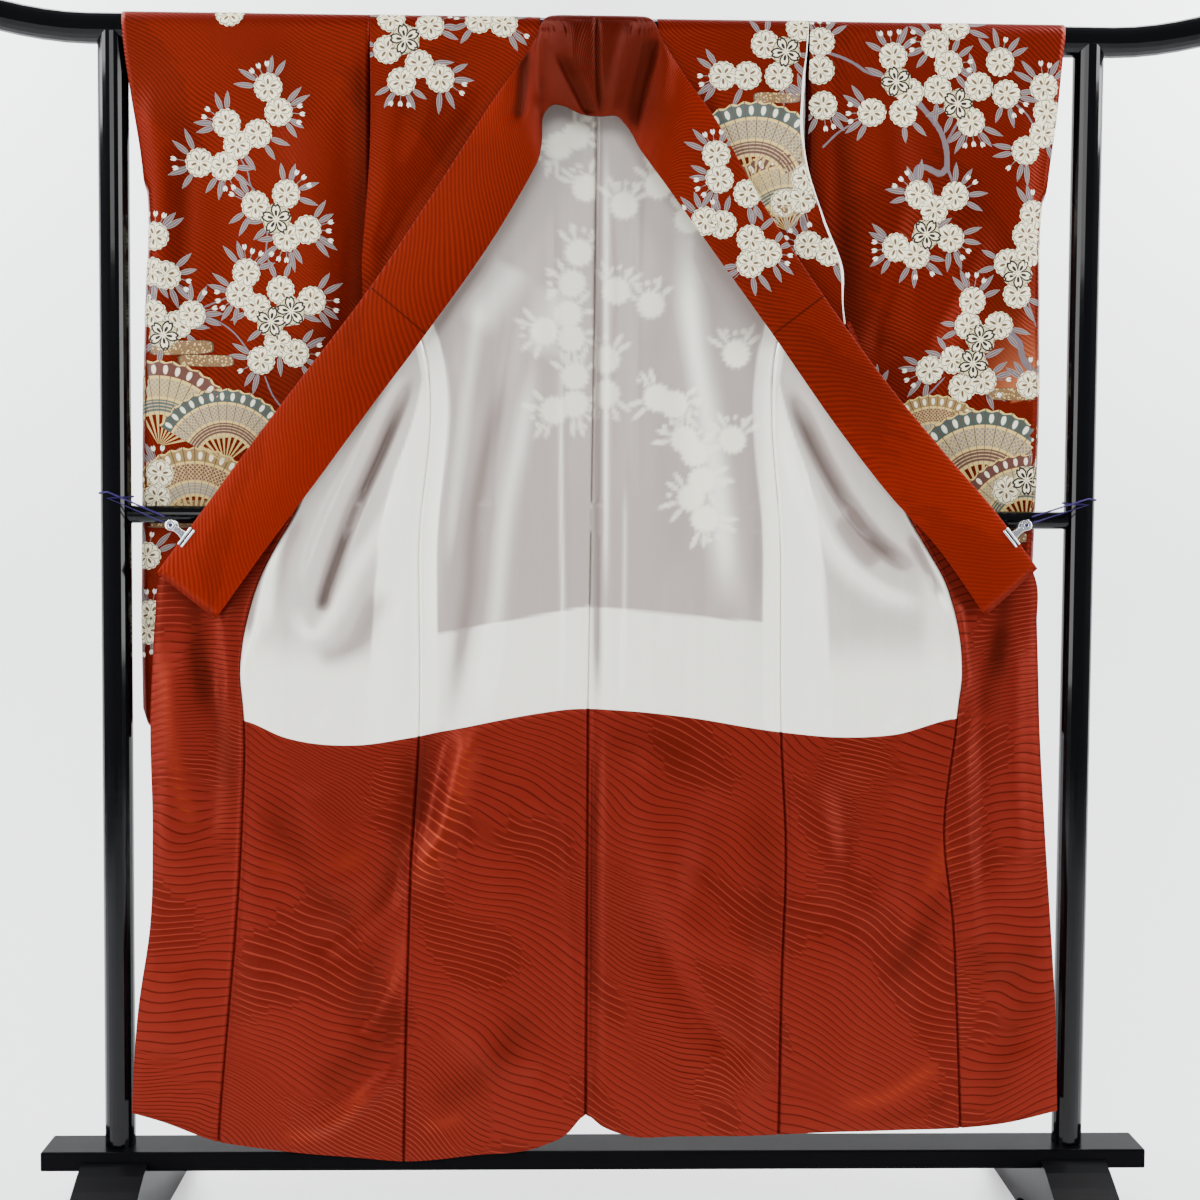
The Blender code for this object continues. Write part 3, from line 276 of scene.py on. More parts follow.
# painted shade and highlight on the lining's folds, added to its see-through grey: more in a hollow, less on
# a raised fold
liningShadeAndHighlight = [
   ([(-44.6, 105), (-47.7, 98), (-49.2, 91), (-50.8, 85.5), (-51.4, 81)], 0.35, -0.7),
    ([(-44.9, 105.5), (-48.4, 98.8), (-50.1, 93.5), (-51, 88)], 0.6, 1.2),
    ([(-42.5, 107), (-45.6, 100.5), (-47, 93), (-48.6, 86)], 1, 0.35),
    ([(44.5, 104), (47.6, 98.6), (49.6, 94.5)], 0.6, 1.1), ([(50.6, 92.5), (49.4, 95), (47, 99)], 0.3, -0.6),
    ([(-13.5, 127.8), (-16.3, 117.2), (-18.7, 105.6), (-19.5, 93.2), (-22.3, 74.3)], 1.3, 1),
    ([(-12.7, 142.8), (-14.9, 138.8), (-19.2, 133)], 2.2, -0.5),
    ([(-6.4, 139.6), (-7.5, 135), (-9.1, 128.8)], 2.4, -0.4),
    ([(13, 146.4), (19.2, 137.7), (24.6, 130.5)], 1.5, 0.7),
    ([(-16.1, 144.2), (-21.4, 137.3), (-25, 131.5)], 0.8, 0.6),
    ([(-9.9, 128.7), (-11.9, 117.2), (-13.9, 106.5), (-15.6, 88.6), (-17.3, 76.2)], 1.2, -0.5),
    ([(-17.5, 140), (-20, 120), (-22.3, 98)], 0.9, -0.4),
    ([(-6, 132.4), (-5.9, 108.6), (-5.6, 94), (-5.7, 79.3)], 0.3, -0.6),
    ([(-0.9, 160), (-0.7, 108.6), (-0.5, 77.3)], 0.6, 1.1), ([(0.4, 161), (0.5, 130), (0.7, 92)], 0.4, -0.7),
    ([(3.4, 111.5), (3.4, 94), (3.1, 79.3)], 0.3, -0.45),
    ([(12, 150), (13.1, 133.4), (15.4, 120.3), (17.3, 106.7), (18.6, 92.1)], 1.7, -0.8),
    ([(8.5, 138), (10.3, 118), (11.5, 96)], 2, 0.25), ([(22.4, 134), (22.9, 112), (23, 92)], 1, 0.35),
    ([(-27.6, 126.4), (-32.3, 114.8), (-36.4, 105.4), (-39.8, 95.3), (-40.4, 92)], 0.8, 1.6),
    ([(-27.2, 116), (-30.4, 106.5), (-35.4, 98.2), (-38.9, 91), (-42, 89), (-44.6, 92.8)], 1.1, -0.5),
    ([(-31, 96), (-35.5, 87.5), (-41.5, 85)], 1.8, 0.6), ([(-46.5, 106), (-47.5, 98), (-48, 88)], 1.2, -0.4),
    ([(27.5, 125), (31.5, 116), (36, 108), (40.5, 102.5), (45.7, 98.6)], 1, 1.6),
    ([(26.9, 119), (29.6, 110), (34, 101), (40.5, 95.5), (47.7, 93.4)], 1.3, -0.5),
    ([(35, 107), (37.5, 103), (40.5, 99.5)], 1.6, 0.8),
]


def joinAt(x):
    return curve(lowerEdges, "x", "join", x)


def hemAt(x):
    return curve(lowerEdges, "x", "hem", x)


def sideWord(side, word):
    return ("left" if side < 0 else "right") + word


def sideEdge(side, height):
    return side * curve(bodyEdges, "height", sideWord(side, "Side"), height)


def frontInner(side, height):
    shut = side * curve(bodyEdges, "height", sideWord(side, "Front"), height)
    return mix(sideEdge(side, height), shut, smoothStep((height - 129.0) / 4.0))


def okumiSeam(side, height):
    return side * curve(okumiEdges, "height", sideWord(side, "Seam"), height)


def okumiFree(side, height):
    return side * curve(okumiEdges, "height", sideWord(side, "Free"), height)


def frontOuter(side, height):
    shoulder = side * curve(shoulderEdges, "height", "left" if side < 0 else "right", height)
    return mix(okumiSeam(side, height), shoulder, smoothStep((height - 131.0) / 3.5))


def centreX(height):
    return np.interp(height, centreSeam["height"], centreSeam["x"])


def seamLine(away, depth, width):
    # a seam pulls both panels into a narrow valley with a low swelling beside it
    valley = np.exp(-(away / width) ** 2)
    swelling = np.exp(-((np.abs(away) - 2.6 * width) / width) ** 2)
    return depth * (valley - 0.3 * swelling)


def backRise(x, z):
    low = smoothStep((172.0 - z) / 12.0)
    rise = foldRise(backFolds, x, z) * low
    rise -= seamLine(x - centreX(z), 0.4, 0.17) * low
    for side in (-1, 1):
        under = smoothStep((134.0 - z) / 5.0)
        rise -= seamLine(x - sideEdge(side, z), 0.36, 0.16) * under
    return rise - seamLine(z - joinAt(x), 0.1, 0.3)


def clearOfRail(y, z):
    # the body hangs in front of the mid rail and rests on it in places
    return np.minimum(y, -1.64 + 0.45 * np.maximum(0.0, np.abs(z - 106.1) - 1.7))


def backDepth(x, z):
    return clearOfRail(curve(hangs, "height", "back", z) - backRise(x, z), z)


def frontDepth(side, x, z):
    inner, outer = sideEdge(side, z), okumiFree(side, z)
    across = smoothStep((x - inner) / (outer - inner) * 1.6)
    back, front = curve(hangs, "height", "back", z), curve(hangs, "height", "front", z)
    closed = smoothStep((z - 124.0) / 13.0)
    depth = mix(mix(back, front, across), front, closed)
    seamed = smoothStep(np.abs(x - inner) / 2.5)
    rise = foldRise(leftFrontFolds if side < 0 else rightFrontFolds, x, z)
    rise *= np.maximum(seamed, closed) * smoothStep((173.5 - z) / 8.0)
    rise += foldRise(backFolds, x, z) * (1 - closed) * (1 - seamed)
    rise -= seamLine(x - inner, 0.36, 0.16) * (1 - closed)
    rise -= seamLine(x - okumiSeam(side, z), 0.3, 0.15) * smoothStep((132.0 - z) / 4.0)
    rise -= seamLine(z - joinAt(x), 0.1, 0.3) * (np.abs(x) < 51.5)
    return clearOfRail(depth - rise, z)


def liningLift(side, x, z):
    # the facing meets the silk at the free edge and at the hem
    lift = garment["liningGap"]
    toHem = smoothStep((z - hemAt(x)) / 1.2)
    if side is None:
        return lift * mix(0.3, 1.0, toHem)
    toFree = smoothStep(np.abs(x - okumiFree(side, z)) / 1.4)
    return lift * mix(0.3, 1.0, toHem * toFree)


# building cloth
def meshFrom(bm, name):
    mesh = bpy.data.meshes.new(name)
    bm.to_mesh(mesh)
    bm.free()
    mesh.shade_smooth()
    return mesh


def weld(mesh, outwards=False):
    # joins the edges where a closed form meets itself
    bm = bmesh.new()
    bm.from_mesh(mesh)
    bmesh.ops.remove_doubles(bm, verts=bm.verts[:], dist=0.00002)
    if outwards:
        bmesh.ops.recalc_face_normals(bm, faces=bm.faces[:])
    bm.to_mesh(mesh)
    bm.free()
    mesh.shade_smooth()


def pointsOf(mesh, unit=cm):
    flat = np.empty(len(mesh.vertices) * 3)
    mesh.vertices.foreach_get("co", flat)
    return flat.reshape(-1, 3) / unit


def facing(mesh, towards):
    # turns the faces so that most of them look towards a direction
    count = len(mesh.polygons)
    normals = np.empty(count * 3)
    mesh.polygons.foreach_get("normal", normals)
    if (normals.reshape(-1, 3) @ np.array(towards, float)).sum() < 0:
        mesh.flip_normals()


def paint(mesh, name, values):
    layer = mesh.attributes.new(name, "FLOAT", "POINT")
    layer.data.foreach_set("value", np.asarray(values, np.float32))


def addPiece(name, mesh, mat):
    obj = bpy.data.objects.new(name, mesh)
    bpy.context.scene.collection.objects.link(obj)
    mesh.materials.append(mat)
    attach(obj, "root")
    return obj


def addWall(obj, thickness):
    wall = obj.modifiers.new("Cloth wall", "SOLIDIFY")
    wall.thickness = thickness * cm
    wall.offset = 0.0
    wall.use_even_offset = False


def clothGrid(name, columns, rows, place, towards=None):
    # place(u, v) gives points in cm, and flat places in cm for the weave
    bm = bmesh.new()
    bmesh.ops.create_grid(bm, x_segments=columns, y_segments=rows, size=1.0)
    mesh = meshFrom(bm, name)
    u, v = (pointsOf(mesh, 1)[:, :2].T + 1) / 2
    points, weave = place(u, v)
    mesh.vertices.foreach_set("co", (points * cm).ravel())
    corners = np.empty(len(mesh.loops), int)
    mesh.loops.foreach_get("vertex_index", corners)
    layer = mesh.uv_layers.new(name="weave")
    layer.data.foreach_set("uv", (weave[corners] * cm).ravel())
    mesh.update()
    if towards:
        facing(mesh, towards)
    return mesh


def columnPlaces(width, cell):
    # columns crowd towards both edges, where the seams are narrow
    crowd = np.array([0, 0.05, 0.11, 0.18, 0.26, 0.36, 0.48, 0.66, 0.95])
    middle = np.linspace(crowd[-1], width - crowd[-1], max(3, int((width - 2 * crowd[-1]) / cell)))
    return np.concatenate([crowd[:-1], middle, width - crowd[:-1][::-1]]) / width


def acrossPanel(inner, outer, cell):
    # the panel's middle, and the shares of its width where columns stand, taken 60 cm up
    near, far = (edge(np.array([60.0]))[0] for edge in (inner, outer))
    return 0.5 * (near + far), columnPlaces(abs(far - near), cell)


def panelGrid(name, inner, outer, top, bottom, depth, lift, wrap=None, cell=None, skew=0.0,
              towards=(0, -1, 0)):
    # a panel between two edges, from its top height down to a bottom line
    cell = cell or garment["cell"]
    middle, places = acrossPanel(inner, outer, cell)
    low = float(bottom(np.array([middle]))[0])
    columns = len(places) - 1

    def place(u, v):
        u = np.interp(u, np.linspace(0, 1, columns + 1), places)
        height = mix(top, low, 1 - v)
        for _ in range(4):
            x = inner(height) + u * (outer(height) - inner(height))
            height = mix(bottom(x), top, v)
        flat = np.stack([x, height + skew * x], axis=1)
        z = np.minimum(height, garment["railHeight"])
        y = depth(x, height) - lift(x, height)
        if wrap is not None:
            over = np.maximum(0.0, height - garment["railHeight"]) / garment["wrapRadius"]
            y = np.where(over > 0, wrap * garment["wrapRadius"] * np.cos(over), y)
            z = z + garment["wrapRadius"] * np.sin(over)
        return np.stack([x, y, z], axis=1), flat

    return clothGrid(name, columns, int((top - low) / cell), place, towards)


def clothBelow(name, inner, outer, depth, lift):
    # a facing panel from the join line to the hem
    _, places = acrossPanel(inner, outer, garment["cell"])
    columns, rows = len(places) - 1, int(62 / garment["cell"])

    def place(u, v):
        u = np.interp(u, np.linspace(0, 1, columns + 1), places)
        height = mix(14.0, 77.0, v)
        for _ in range(4):
            x = inner(height) + u * (outer(height) - inner(height))
            height = mix(hemAt(x), joinAt(x), v)
        y = depth(x, height) - lift(x, height)
        return np.stack([x, y, height], axis=1), np.stack([x, height], axis=1)

    return clothGrid(name, columns, rows, place, (0, -1, 0))


trees = {}


def remember(name, mesh):
    # kept so that blossoms can be laid on the finished cloth
    verts = [tuple(vert.co) for vert in mesh.vertices]
    faces = [tuple(face.vertices) for face in mesh.polygons]
    trees[name] = BVHTree.FromPolygons(verts, faces)


# colours and materials
def srgb(text):
    parts = [int(text[i:i + 2], 16) / 255 for i in (1, 3, 5)]
    return tuple(c / 12.92 if c <= 0.04045 else ((c + 0.055) / 1.055) ** 2.4 for c in parts) + (1.0,)


def addNode(tree, kind, inputs=(), **settings):
    # inputs are in the node's own order, or in a dictionary by name or number
    node = tree.nodes.new("ShaderNode" + kind)
    for name, value in settings.items():
        setattr(node, name, value)
    for place, value in inputs.items() if isinstance(inputs, dict) else enumerate(inputs):
        if isinstance(value, bpy.types.NodeSocket):
            tree.links.new(value, node.inputs[place])
        else:
            node.inputs[place].default_value = value
    return node.outputs


def newMaterial(name, **shaderValues):
    mat = bpy.data.materials.new(name)
    mat.use_nodes = True
    shader = mat.node_tree.nodes["Principled BSDF"]
    for socket, value in shaderValues.items():
        shader.inputs[socket.replace("_", " ")].default_value = value
    return mat, mat.node_tree, shader


def layTones(tree, base, *layers):
    # tones laid over a base colour, each as far as its own share says
    for share, tone in layers:
        base = addNode(tree, "Mix", {"Factor": share, 6: base, 7: srgb(tone)}, data_type="RGBA")[2]
    return base


def mottled(tree, place, scale, detail, tone, other):
    # a ground of two close tones in soft clouds
    cloud = addNode(tree, "TexNoise", {"Vector": place, "Scale": scale, "Detail": detail})[0]
    return layTones(tree, srgb(tone), (cloud, other))


def fromLine(tree, field):
    # distance from the middle of each whole step of a field, at most a half
    part = addNode(tree, "Math", (field,), operation="FRACT")[0]
    return apart(tree, part, 0.5)


def apart(tree, a, b):
    away = addNode(tree, "Math", (a, b), operation="SUBTRACT")[0]
    return addNode(tree, "Math", (away,), operation="ABSOLUTE")[0]


def finishSurface(tree, shader, base, height=None, relief=1.0, strength=1.0):
    # links the colour, and a height in metres that stands out from the surface
    tree.links.new(base, shader.inputs["Base Color"])
    if height is not None:
        height = addNode(tree, "Math", (height, relief), operation="MULTIPLY")[0]
        bump = addNode(tree, "Bump", {"Height": height, "Distance": 1.0, "Strength": strength})[0]
        tree.links.new(bump, shader.inputs["Normal"])


# Figured silk: satin ground with a woven ripple, so lines glint where the cloth turns
silk = {
    "driftScale": 4.6, "driftHeight": 0.05, "rippleScale": 13.0, "rippleHeight": 0.009, "patchScale": 6.5,
    "closeScale": 3.3, "stepReach": 0.03, "crepe": 0.0009, "crepeBump": 0.00003,
}


def figuredSilk(name, colours, roughness, spacing, slope, softness, lineBump, patches, closeFrom,
                seams=(), glow="#dc8a5c", glint=0.0):
    # colours: ground, its lines, patch ground and the patch's lines; glow is the tone the fade attribute lays
    # on, painted highlight on the hem facings, and glint puts the glow on the lines
    mat, tree, shader = newMaterial(name, Roughness=roughness, Specular_IOR_Level=0.16, Metallic=0.3,
                                    Sheen_Weight=0.02, Sheen_Roughness=0.35, Specular_Tint=srgb("#ffb090"),
                                    Sheen_Tint=srgb("#ff7040"))
    uv = addNode(tree, "UVMap", uv_map="weave")[0]
    split = addNode(tree, "SeparateXYZ", (uv,))
    level = addNode(tree, "Math", (split[0], slope, split[1]), operation="MULTIPLY_ADD")[0]
    for wave in ("drift", "ripple"):
        noise = addNode(tree, "TexNoise", {"Vector": uv, "Scale": silk[wave + "Scale"], "Detail": 0.0})[0]
        level = addNode(tree, "Math", (noise, silk[wave + "Height"] * 2, level), operation="MULTIPLY_ADD")[0]
    field = addNode(tree, "Math", (level, spacing), operation="DIVIDE")[0]
    line = addNode(tree, "MapRange", (fromLine(tree, field), 0.03, 0.03 + softness, 1.0, 0.0),
                   interpolation_type="SMOOTHSTEP")[0]
    # in places the lines run twice as close
    twice = addNode(tree, "Math", (field, 2.0), operation="MULTIPLY")[0]
    close = addNode(tree, "MapRange", (fromLine(tree, twice), 0.06, 0.08 + softness, 1.0, 0.0),
                    interpolation_type="SMOOTHSTEP")[0]
    where = addNode(tree, "TexNoise", {"Vector": uv, "Scale": silk["closeScale"], "Detail": 0.0})[0]
    where = addNode(tree, "MapRange", (where, closeFrom, closeFrom + 0.03))[0]
    line = addNode(tree, "Mix", {"Factor": where, 2: line, 3: close})[0]
    # the figure changes in patches whose ends step from line to line
    index = addNode(tree, "Math", (field,), operation="FLOOR")[0]
    jitter = addNode(tree, "TexWhiteNoise", {"W": index}, noise_dimensions="1D")[0]
    stepX = addNode(tree, "Math", (jitter, silk["stepReach"], split[0]), operation="MULTIPLY_ADD")[0]
    stepY = addNode(tree, "Math", (index, spacing), operation="MULTIPLY")[0]
    patchPlace = addNode(tree, "CombineXYZ", (stepX, stepY))[0]
    patch = addNode(tree, "TexNoise", {"Vector": patchPlace, "Scale": silk["patchScale"], "Detail": 0.0})[0]
    patch = addNode(tree, "MapRange", (patch, patches, patches + 0.012))[0]
    ground = layTones(tree, srgb(colours[0]), (patch, colours[2]))
    drawn = layTones(tree, srgb(colours[1]), (patch, colours[3]))
    base = addNode(tree, "Mix", {"Factor": line, 6: ground, 7: drawn}, data_type="RGBA")[2]
    # painted highlight (the glow, by the fade attribute) catches the drawn lines, and painted shade (by the
    # shade attribute) darkens them first in hollows
    for attribute, gain, rest, tone in (("fade", glint, 1.0 - 0.5 * glint, glow),
                                        ("shade", 0.5, 0.75, "#2c0400")):
        share = addNode(tree, "Attribute", attribute_name=attribute)[2]
        onLines = addNode(tree, "Math", (line, gain, rest), operation="MULTIPLY_ADD")[0]
        share = addNode(tree, "Math", (share, onLines), operation="MULTIPLY")[0]
        base = layTones(tree, base, (share, tone))
    for place in seams:
        # a cross seam: a dark line 1 mm wide at one distance along the band
        sewn = addNode(tree, "MapRange", (apart(tree, split[1], place), 0.0004, 0.0012, 0.85, 0.0))[0]
        base = layTones(tree, base, (sewn, "#330600"))
    # crepe threads are about 0.2 mm; drawn at 0.9 mm so that they show
    crepe = addNode(tree, "TexNoise", {"Vector": uv, "Scale": 1 / silk["crepe"], "Detail": 2.0})[0]
    ridge = addNode(tree, "Math", (field, 2 * math.pi), operation="MULTIPLY")[0]
    ridge = addNode(tree, "Math", (ridge,), operation="COSINE")[0]
    high = addNode(tree, "Math", (ridge, lineBump / silk["crepeBump"], crepe), operation="MULTIPLY_ADD")[0]
    finishSurface(tree, shader, base, high, silk["crepeBump"])
    return mat


def satinLining(name):
    # thin white satin: the silk behind greys it, painted shade and highlight of its folds darken or lighten
    # that grey, and dyed blossoms show through as cream
    mat, tree, shader = newMaterial(name, Roughness=0.36, Sheen_Weight=0.15, Sheen_Roughness=0.5,
                                    Specular_IOR_Level=0.55)
    uv = addNode(tree, "UVMap", uv_map="weave")[0]
    seeThroughAndShade, ghost = (addNode(tree, "Attribute", attribute_name=word)[2] for word in ("seeThroughAndShade", "ghost"))
    # streaks and threads run along the cloth
    stretched = addNode(tree, "Mapping", {"Vector": uv, "Scale": (60.0, 3.0, 1.0)})[0]
    streak = addNode(tree, "TexNoise", {"Vector": stretched, "Scale": 1.0, "Detail": 3.0})[0]
    streak = addNode(tree, "Math", (streak, 0.5), operation="SUBTRACT")[0]
    uneven = addNode(tree, "Math", (streak, 0.14, seeThroughAndShade), operation="MULTIPLY_ADD")[0]
    # past 1, the painted shade of deep folds turns to a darker tone
    paintedDeepShade = addNode(tree, "Math", (seeThroughAndShade, 1.0), operation="SUBTRACT")[0]
    paintedDeepShade = addNode(tree, "Math", (paintedDeepShade, 0.8), operation="MULTIPLY")[0]
    base = layTones(tree, srgb("#fcfbee"), (uneven, "#a0958f"), (ghost, "#faf7e0"), (paintedDeepShade, "#74655f"))
    threads = addNode(tree, "TexNoise", {"Vector": stretched, "Scale": 14.0, "Detail": 1.0})[0]
    finishSurface(tree, shader, base, threads, 0.00004)
    return mat


def urushiLacquer(name, roughness, gloss):
    # black lacquer rubbed smooth, with faint waviness and dust-fine haze
    mat, tree, shader = newMaterial(name, Roughness=roughness, Specular_IOR_Level=gloss)
    place = addNode(tree, "TexCoord")[3]
    base = mottled(tree, place, 9.0, 4.0, "#030304", "#060608")
    ripple = addNode(tree, "TexNoise", {"Vector": place, "Scale": 26.0, "Detail": 1.0})[0]
    finishSurface(tree, shader, base, ripple, 0.0003, 0.5)
    return mat


silkOuter = figuredSilk("Rust silk, figured satin", ("#641207", "#4c0c03", "#5d1106", "#450902"), 0.4, 0.0064,
                        0.72, 0.3, 0.00016, 0.58, 0.62)
silkCollar = figuredSilk("Rust silk, collar", ("#751809", "#661307", "#6c1508", "#5f1106"), 0.44, 0.0062,
                         0.78, 0.4, 0.00015, 0.6, 0.7, seams=(0.387, 1.933))
silkFacing = figuredSilk("Rust silk, hem facing", ("#6a1c14", "#460e09", "#59140e", "#7a291e"), 0.38, 0.0122,
                         0.5, 0.1, 0.00013, 0.565, 0.56, glow="#c04826", glint=1.5)
lining = satinLining("White satin lining")
lacquer = urushiLacquer("Black urushi lacquer, polished", 0.09, 0.2)
dullLacquer = urushiLacquer("Black urushi lacquer, worn dull", 0.28, 0.03)
print("materials made")


# camera, light and stage
view = {
    "place": (-0.067, -2.492, 1.061), "yaw": 1.52, "pitch": -2.79, "roll": 0.39, "lens": 51.0,
    "wall": 1.3, "sweep": 0.9, "floorFront": -4.0, "floorHalf": 5.0, "wallTop": 5.0,
}


def makeCamera():
    yaw, pitch, roll = (math.radians(view[name]) for name in ("yaw", "pitch", "roll"))
    ahead = Vector((math.sin(yaw) * math.cos(pitch), math.cos(yaw) * math.cos(pitch), math.sin(pitch)))
    right = Vector((math.cos(yaw), -math.sin(yaw), 0))
    up = right.cross(ahead)
    turnedRight = math.cos(roll) * right + math.sin(roll) * up
    turnedUp = -math.sin(roll) * right + math.cos(roll) * up
    camera = bpy.data.objects.new("camera", bpy.data.cameras.new("camera"))
    camera.data.lens = view["lens"]
    camera.data.sensor_width = 36.0
    turn = Matrix((turnedRight, turnedUp, -ahead)).transposed().to_4x4()
    camera.matrix_world = Matrix.Translation(view["place"]) @ turn
    bpy.context.scene.collection.objects.link(camera)
    bpy.context.scene.camera = camera


def makeStage():
    # floor and wall in one sweep
    bm = bmesh.new()
    sweep, start = view["sweep"], view["wall"] - view["sweep"]
    profile = [(view["floorFront"], 0.0), (start, 0.0)]
    for i in range(1, 13):
        turn = math.pi / 2 * i / 12
        profile.append((start + sweep * math.sin(turn), sweep * (1 - math.cos(turn))))
    profile.append((view["wall"], view["wallTop"]))
    verts = [bm.verts.new((-view["floorHalf"], y, z)) for y, z in profile]
    edges = [bm.edges.new(pair) for pair in zip(verts, verts[1:])]
    grown = bmesh.ops.extrude_edge_only(bm, edges=edges)
    moved = [item for item in grown["geom"] if isinstance(item, bmesh.types.BMVert)]
    bmesh.ops.translate(bm, vec=(2 * view["floorHalf"], 0, 0), verts=moved)
    bmesh.ops.recalc_face_normals(bm, faces=bm.faces[:])
    mesh = meshFrom(bm, "floor")
    facing(mesh, (0, -1, 1))
    floor = bpy.data.objects.new("floor", mesh)
    bpy.context.scene.collection.objects.link(floor)
    paper, _, _ = newMaterial("Pale studio paper", Base_Color=srgb("#f1f3f5"), Roughness=0.85)
    mesh.materials.append(paper)


def makeLights():
    for name, place, target, wide, tall, power in (
            ("left softbox", (-2.6, -1.9, 1.7), (0.0, 0.0, 1.0), 1.0, 2.6, 84.0),
            ("right softbox", (2.9, -1.8, 1.6), (0.0, 0.0, 1.0), 0.7, 2.2, 70.0),
            ("front fill", (-0.5, -3.4, 2.6), (0.0, 0.0, 0.9), 2.0, 1.4, 66.0),
            ("left backdrop light", (-2.0, 0.15, 2.6), (-0.9, 1.3, 1.0), 1.6, 1.6, 136.0),
            ("right backdrop light", (2.0, 0.15, 2.6), (0.9, 1.3, 1.0), 1.6, 1.6, 146.0)):
        data = bpy.data.lights.new(name, "AREA")
        data.shape = "RECTANGLE"
        data.size, data.size_y = wide, tall
        data.energy = power
        light = bpy.data.objects.new(name, data)
        light.location = place
        light.rotation_euler = (Vector(target) - Vector(place)).to_track_quat("-Z", "Y").to_euler()
        bpy.context.scene.collection.objects.link(light)
    world = bpy.data.worlds.new("soft room")
    world.use_nodes = True
    world.node_tree.nodes["Background"].inputs[0].default_value = srgb("#eef2f8")
    world.node_tree.nodes["Background"].inputs[1].default_value = 0.32
    bpy.context.scene.world = world


makeCamera()
makeStage()
makeLights()
print("camera, stage and lights made")


# each panel: piece, node, material, slot, and the width and length in metres of the strip that shows
panels = {
    "back": ("backPanel", "back", silkOuter, "silk_red", 0.295, 1.64),
    "backLining": ("backLining", "back_lining", lining, "silk_lining_white", 0.295, 0.93),
    "backFacing": ("backFacing", "back_hakkake", silkFacing, "silk_hakkake_red", 0.295, 0.63),
    "front": ("frontPanel", "front", silkOuter, "silk_red", 0.27, 1.64),
    "frontLining": ("frontLining", "front_lining", lining, "silk_lining_white", 0.26, 0.56),
    "frontFacing": ("frontFacing", "front_hakkake", silkFacing, "silk_hakkake_red", 0.27, 0.62),
    "okumi": ("okumiPanel", "okumi", silkOuter, "silk_red", 0.14, 1.24),
    "okumiFacing": ("okumiFacing", "okumi_hakkake", silkFacing, "silk_hakkake_red", 0.14, 1.24),
    "sleeve": ("sleeveSilk", "sleeve", silkOuter, "silk_red", 0.35, 2.14),
}


def hangCloth(kind, word, mesh, makeTrim=None):
    piece, node, mat, slot, width, length = panels[kind]
    cloth = addPiece(piece + "_" + word, mesh, mat)
    trims = [makeTrim()] if makeTrim else []
    if mat == silkOuter:
        addWall(cloth, garment["silkWall"])
    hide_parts(node + "_" + word)


def noLift(x, z):
    return np.zeros(np.shape(x))


def seeThroughGreyAndShade(x, z):
    # where only one layer of silk lies behind the lining, it reads lilac grey
    fromSide = np.minimum(np.abs(x - sideEdge(-1, z)), np.abs(x - sideEdge(1, z)))
    single = smoothStep((fromSide - 2.5) / 0.35)
    edge = 93.0 - np.where(x < -1.8, 0.19, 0.09) * np.abs(x + 1.8)
    single *= 0.14 + 0.86 * smoothStep((z - edge) / 0.35)
    # plus the painted shade and highlight of the lining's folds
    return single + foldRise(liningShadeAndHighlight, x, z)


def frontSeeThroughAndShade(side, x, z):
    # the same beside the clipped fronts, fainter towards the free edge
    margin = np.interp(z, [80, 98, 112, 126], [7.4, 6.0, 4.4, 0.8])
    grey = smoothStep((np.abs(x - sideEdge(side, z)) - margin) / 0.35)
    grey *= 0.12 + 0.88 * smoothStep((z - 82.5) / 8.0)
    # plus the painted shade and highlight of the lining's folds
    return 0.72 * grey * (1 - 0.6 * smoothStep((np.abs(x) - 45.5) / 3.0)) + foldRise(liningShadeAndHighlight, x, z)


def paintLining(mesh, grey):
    points = pointsOf(mesh)
    paint(mesh, "seeThroughAndShade", grey(points[:, 0], points[:, 2]))
    paint(mesh, "ghost", np.zeros(len(points)))


def paintFacing(mesh):
    # painted shade goes into the shade attribute, painted highlight into the fade attribute
    points = pointsOf(mesh)
    tone = foldRise(facingShadeAndHighlight, points[:, 0], points[:, 2])
    paint(mesh, "shade", np.clip(tone, 0, 0.8))
    paint(mesh, "fade", np.clip(-tone, 0, 0.4))


def makeBack(side, word):
    def inner(height):
        return centreX(height) + side * garment["seamGap"]

    def outer(height):
        return sideEdge(side, height) - side * garment["seamGap"]

    def lift(x, z):
        return liningLift(None, x, z)

    mesh = panelGrid("back " + word, inner, outer, crown, hemAt, backDepth, noLift, wrap=1, towards=(0, 1, 0))
    remember("back_" + word, mesh)
    hangCloth("back", word, mesh)

    mesh = panelGrid("back lining " + word, inner, outer, garment["liningTopBack"], joinAt, backDepth, lift,
                     cell=0.38)
    paintLining(mesh, seeThroughGreyAndShade)
    hangCloth("backLining", word, mesh)

    mesh = clothBelow("back facing " + word, inner, outer, backDepth, lift)
    paintFacing(mesh)
    hangCloth("backFacing", word, mesh)


def makeTurnedEdge():
    # white lining turned over the right armhole's edge, about 3 mm wide
    def place(u, v):
        height = mix(134.2, 175.4, v)
        wide = 0.27 + 0.1 * np.sin(height * 0.31 + 1.0) + 0.05 * np.sin(height * 0.9)
        x = frontOuter(1, height) - mix(wide, 0.0, u)
        y = frontDepth(1, x, height) - 0.06 - 0.05 * np.sin(math.pi * u)
        return np.stack([x, y, height], axis=1), np.stack([x, height], axis=1)

    mesh = clothGrid("turned edge", 4, 70, place, (0, -1, 0))
    strip = addPiece("turnedEdge_right", mesh, lining)
    addWall(strip, garment["edgeWall"])
    return strip


